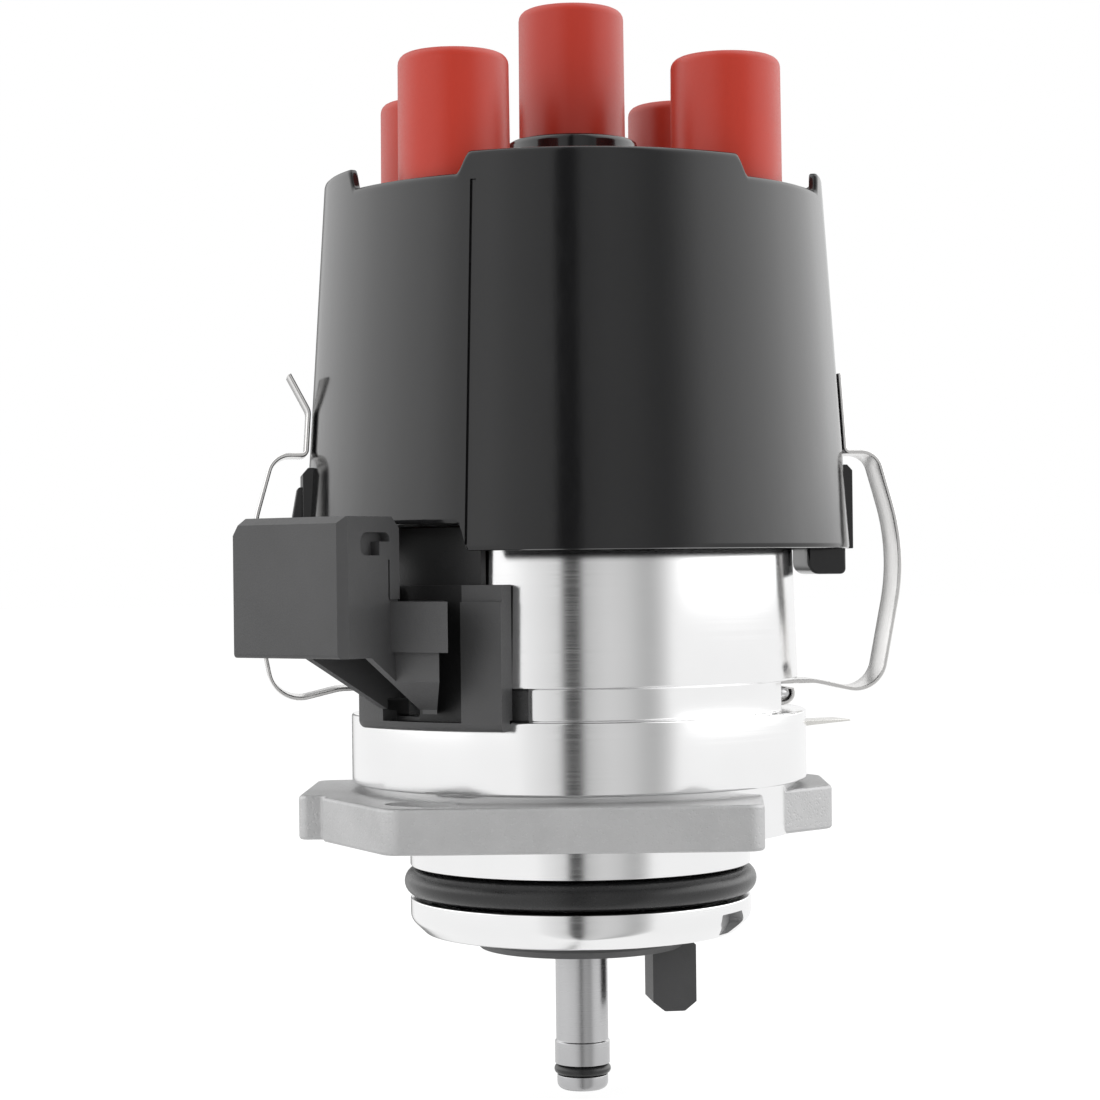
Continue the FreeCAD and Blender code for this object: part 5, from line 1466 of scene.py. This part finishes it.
CARRIED: dict[Finish, tuple[str, ...]] = {
    BEARING_BRONZE: ("lower_bush", "upper_bush"),
    SEAL_AND_SHADE_BLACK: ("shaft_seal",),
    GREY_MOULDING: ("sender_plate", "dust_cover"),
    GROUND_STEEL: (
        "plate_screw_front",
        "plate_screw_rear",
        "lower_washer",
        "upper_washer",
        "retaining_ring",
        "coupling_pin",
        "shutter_wheel",
    ),
    PLUG_BLACK: ("hall_sender", "sender_lead"),
    MAGNET_GREY: ("sender_magnet",),
    CONTACT_BRASS: (
        *(f"lead_terminal_{number}" for number in range(1, 5)),
        "centre_terminal",
        "rotor_contact",
        "rotor_tip",
    ),
    ROTOR_RED: ("rotor_arm",),
    RESISTOR_GLAZE: ("rotor_resistor",),
    BRUSH_CARBON: ("carbon_brush",),
}


def dress_carried() -> None:
    """Give the CAD nodes that stay as they are their finish."""
    for finish, nodes in CARRIED.items():
        for node in nodes:
            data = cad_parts[node].data
            data.materials.clear()
            data.materials.append(finish.material())
            LOG.info("%s: kept, finished as %s", node, finish.name)


def earth_blade() -> None:
    """The thin earth blade at the side of the skirt."""
    blade = refined("earth_blade", "earth_tab", TINNED_BLADE, 0.08)
    fitted(blade, ROOT, "earth_blade")


# Studio


@dataclass
class Studio:
    """Floor, world, lamps and the camera at the photograph's view.

    Attributes:
        bands: What is reflected: azimuths from the camera's and levels.
        lamps: Names, places in metres, sizes in metres and powers in watts.
        azimuth: The camera's azimuth.
        distance: Its distance from the axis.
        aim_height: Its height.
        side_step: How far it stands to the right of the line through the axis.
        lens: Its focal length.
        rise: Its vertical shift, as a share of the picture.
        roll: Its turn about its own line of sight.
        floor_height: The floor's height.
        peak: The level that the reflections' curve tops out at.
        low_peak: The highest level in the lowest directions.
        low_limit: Sines of the elevation where that limit starts to rise and is gone.
        plain_level: The world's level for light that isn't reflected.
        floor_reach: Half the floor's width in metres.
        floor_share: How much of the floor's own glow the camera sees.
        floor_glow: The level of that glow.
        lamp_aim: Height in metres of the point that the lamps look at.
    """

    bands: Points = (
        (-166.0, 0.25), (-160.0, 0.9), (-152.0, 1.0), (-127.0, 1.8), (-110.0, 2.2),
        (-89.0, 2.15), (-66.0, 1.75), (-51.0, 1.15), (-37.0, 1.2), (-26.0, 0.92),
        (-16.0, 0.8), (-9.5, 0.76), (-7.6, 0.06), (0.6, 0.06), (2.6, 0.58), (15.0, 0.7),
        (25.0, 0.64), (33.0, 0.5), (38.0, 0.48), (43.0, 0.62), (49.0, 0.95),
        (59.0, 1.6), (75.0, 2.1), (92.0, 2.5), (106.0, 2.7), (122.0, 2.4), (140.0, 1.9),
        (160.0, 1.0),
    )
    lamps: tuple[tuple[str, Place, float, float], ...] = (
        ("left_softbox", (-0.75, -0.65, 0.35), 0.7, 3.2),
        ("right_softbox", (0.8, -0.5, 0.3), 0.7, 2.8),
        ("top_softbox", (0.05, 0.15, 0.9), 0.8, 3.0),
    )

    azimuth: float = -7.2
    distance: float = 400.0
    aim_height: float = 39.7
    side_step: float = -4.16
    lens: float = 85.1
    rise: float = 0.0182
    roll: float = -0.65
    floor_height: float = -41.5
    peak: float = 3.0
    low_peak: float = 1.02
    low_limit: Point = (0.01, 0.09)
    plain_level: float = 0.72
    floor_reach: float = 6.0
    floor_share: float = 0.8
    floor_glow: float = 1.12
    lamp_aim: float = 0.04

    def world(self) -> None:
        """A white world for the camera, and softboxes with darker gaps for what is reflected."""
        world = bpy.data.worlds.new("studio")
        bpy.context.scene.world = world
        world.use_nodes = True
        world.node_tree.nodes.clear()
        bench = Bench(world.node_tree)
        ray = bench.add("ShaderNodeLightPath").outputs
        seen = bench.math("MAXIMUM", ray["Is Camera Ray"], ray["Is Transmission Ray"])
        plain, boxes, white = (
            bench.add("ShaderNodeBackground", {"Color": (1.0,) * 4, "Strength": level}).outputs[0]
            for level in (self.plain_level, self.reflected(bench), 1.0)
        )
        lit = bench.add("ShaderNodeMixShader", {0: ray["Is Glossy Ray"], 1: plain, 2: boxes})
        shown = bench.add("ShaderNodeMixShader", {0: seen, 1: lit.outputs[0], 2: white})
        bench.add("ShaderNodeOutputWorld", {"Surface": shown.outputs[0]})

    def reflected(self, bench: Bench) -> Socket:
        """The brightness of what is reflected, by its direction round the object.

        Args:
            bench: The world's node tree.

        Returns:
            The socket of the brightness.
        """
        place = bench.add("ShaderNodeTexCoord").outputs["Generated"]
        parts = bench.add("ShaderNodeSeparateXYZ", {0: place}).outputs
        turn = bench.math("ARCTAN2", parts["X"], bench.math("MULTIPLY", parts["Y"], -1.0))
        share = bench.spread(turn, (-math.pi, math.pi))
        curve = bench.add("ShaderNodeFloatCurve", {"Value": share})
        line = curve.mapping.curves[0]
        levels = [(side + self.azimuth, high) for side, high in self.bands]
        levels = [(-180.0, self.bands[0][1]), *levels, (180.0, self.bands[-1][1])]
        places = [((side + 180.0) / 360.0, high / self.peak) for side, high in levels]
        while len(line.points) < len(places):
            line.points.new(0.5, 0.5)
        for point, spot in zip(line.points, places):
            point.location = spot
            point.handle_type = "VECTOR"
        curve.mapping.use_clip = False
        curve.mapping.update()
        level = bench.math("MULTIPLY", curve.outputs["Value"], self.peak)
        limited = bench.math("MINIMUM", level, self.low_peak)
        rise = bench.spread(parts["Z"], self.low_limit)
        return bench.add("ShaderNodeMix", {0: rise, 2: limited, 3: level}).outputs[0]

    def lamp(self, name: str, place: Corner, size: float, power: float) -> None:
        """A soft square lamp that looks at the object and isn't seen in reflections.

        Args:
            name: The lamp's name.
            place: Where it stands, in metres.
            size: Its width in metres.
            power: Its power in watts.
        """
        data = bpy.data.lights.new(name, "AREA")
        data.shape = "SQUARE"
        data.size = size
        data.energy = power
        lamp = linked(name, data)
        lamp.location = place
        ray = Vector((0, 0, self.lamp_aim)) - Vector(place)
        lamp.rotation_euler = ray.to_track_quat("-Z", "Y").to_euler()
        lamp.visible_glossy = False

    def floor(self) -> None:
        """The pale floor: white to the camera, with the object's shadow kept."""
        bench = Surface("pale_floor")
        camera_ray = bench.add("ShaderNodeLightPath").outputs["Is Camera Ray"]
        share = bench.math("MULTIPLY", camera_ray, self.floor_share)
        matt = bench.add("ShaderNodeBsdfDiffuse", {"Color": (0.93, 0.93, 0.93, 1.0)}).outputs[0]
        glow = bench.add("ShaderNodeEmission", {"Strength": self.floor_glow}).outputs[0]
        mix = bench.add("ShaderNodeMixShader", {0: share, 1: matt, 2: glow})
        data = bpy.data.meshes.new("floor")
        reach, height = self.floor_reach, self.floor_height * MM
        sides = ((-reach, -reach), (reach, -reach), (reach, reach), (-reach, reach))
        data.from_pydata([(x, y, height) for x, y in sides], [], [(0, 1, 2, 3)])
        data.materials.append(bench.close(mix.outputs[0]))
        floor = linked("floor", data)
        floor.visible_glossy = False

    def camera(self) -> None:
        """The camera, level with the barrel and a little to its left."""
        turn = math.radians(self.azimuth)
        back = Vector((math.sin(turn), -math.cos(turn), 0.0))
        right = Vector((math.cos(turn), math.sin(turn), 0.0))
        data = bpy.data.cameras.new("camera")
        data.lens = self.lens
        data.sensor_width = 36.0
        data.shift_y = self.rise
        camera = linked("camera", data)
        height = Vector((0, 0, self.aim_height * MM))
        place = back * self.distance * MM + right * self.side_step * MM + height
        look = (-back).to_track_quat("-Z", "Y").to_matrix().to_4x4()
        tilt = Matrix.Rotation(math.radians(self.roll), 4, "Z")
        camera.matrix_world = Matrix.Translation(place) @ look @ tilt
        bpy.context.scene.camera = camera

    def build(self) -> None:
        """Set up the whole studio."""
        bpy.context.scene.view_settings.view_transform = "Standard"
        self.world()
        self.floor()
        self.camera()
        for lamp in self.lamps:
            self.lamp(*lamp)


def main() -> None:
    """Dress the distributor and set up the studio."""
    logging.basicConfig(level=logging.INFO, format="%(name)s: %(message)s")
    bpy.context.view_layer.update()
    steps: list[tuple[str, Callable[[], None]]] = [
        ("studio", Studio().build),
        ("housing", Housing().build),
        ("cap", ScreenedCap().build),
        ("left clip", Clip("left_clip", "left_clip_body", 180.0, 2.9).build),
        ("right clip", Clip("right_clip", "right_clip_body", 0.0, -0.4).build),
        ("side plug", SidePlug().build),
        ("shaft", DriveShaft().build),
        ("brush spring", BrushSpring().build),
        ("earth blade", earth_blade),
        ("carried nodes", dress_carried),
    ]
    for label, step in steps:
        step()
        LOG.info("%s done", label)


if __name__ == "__main__":
    main()
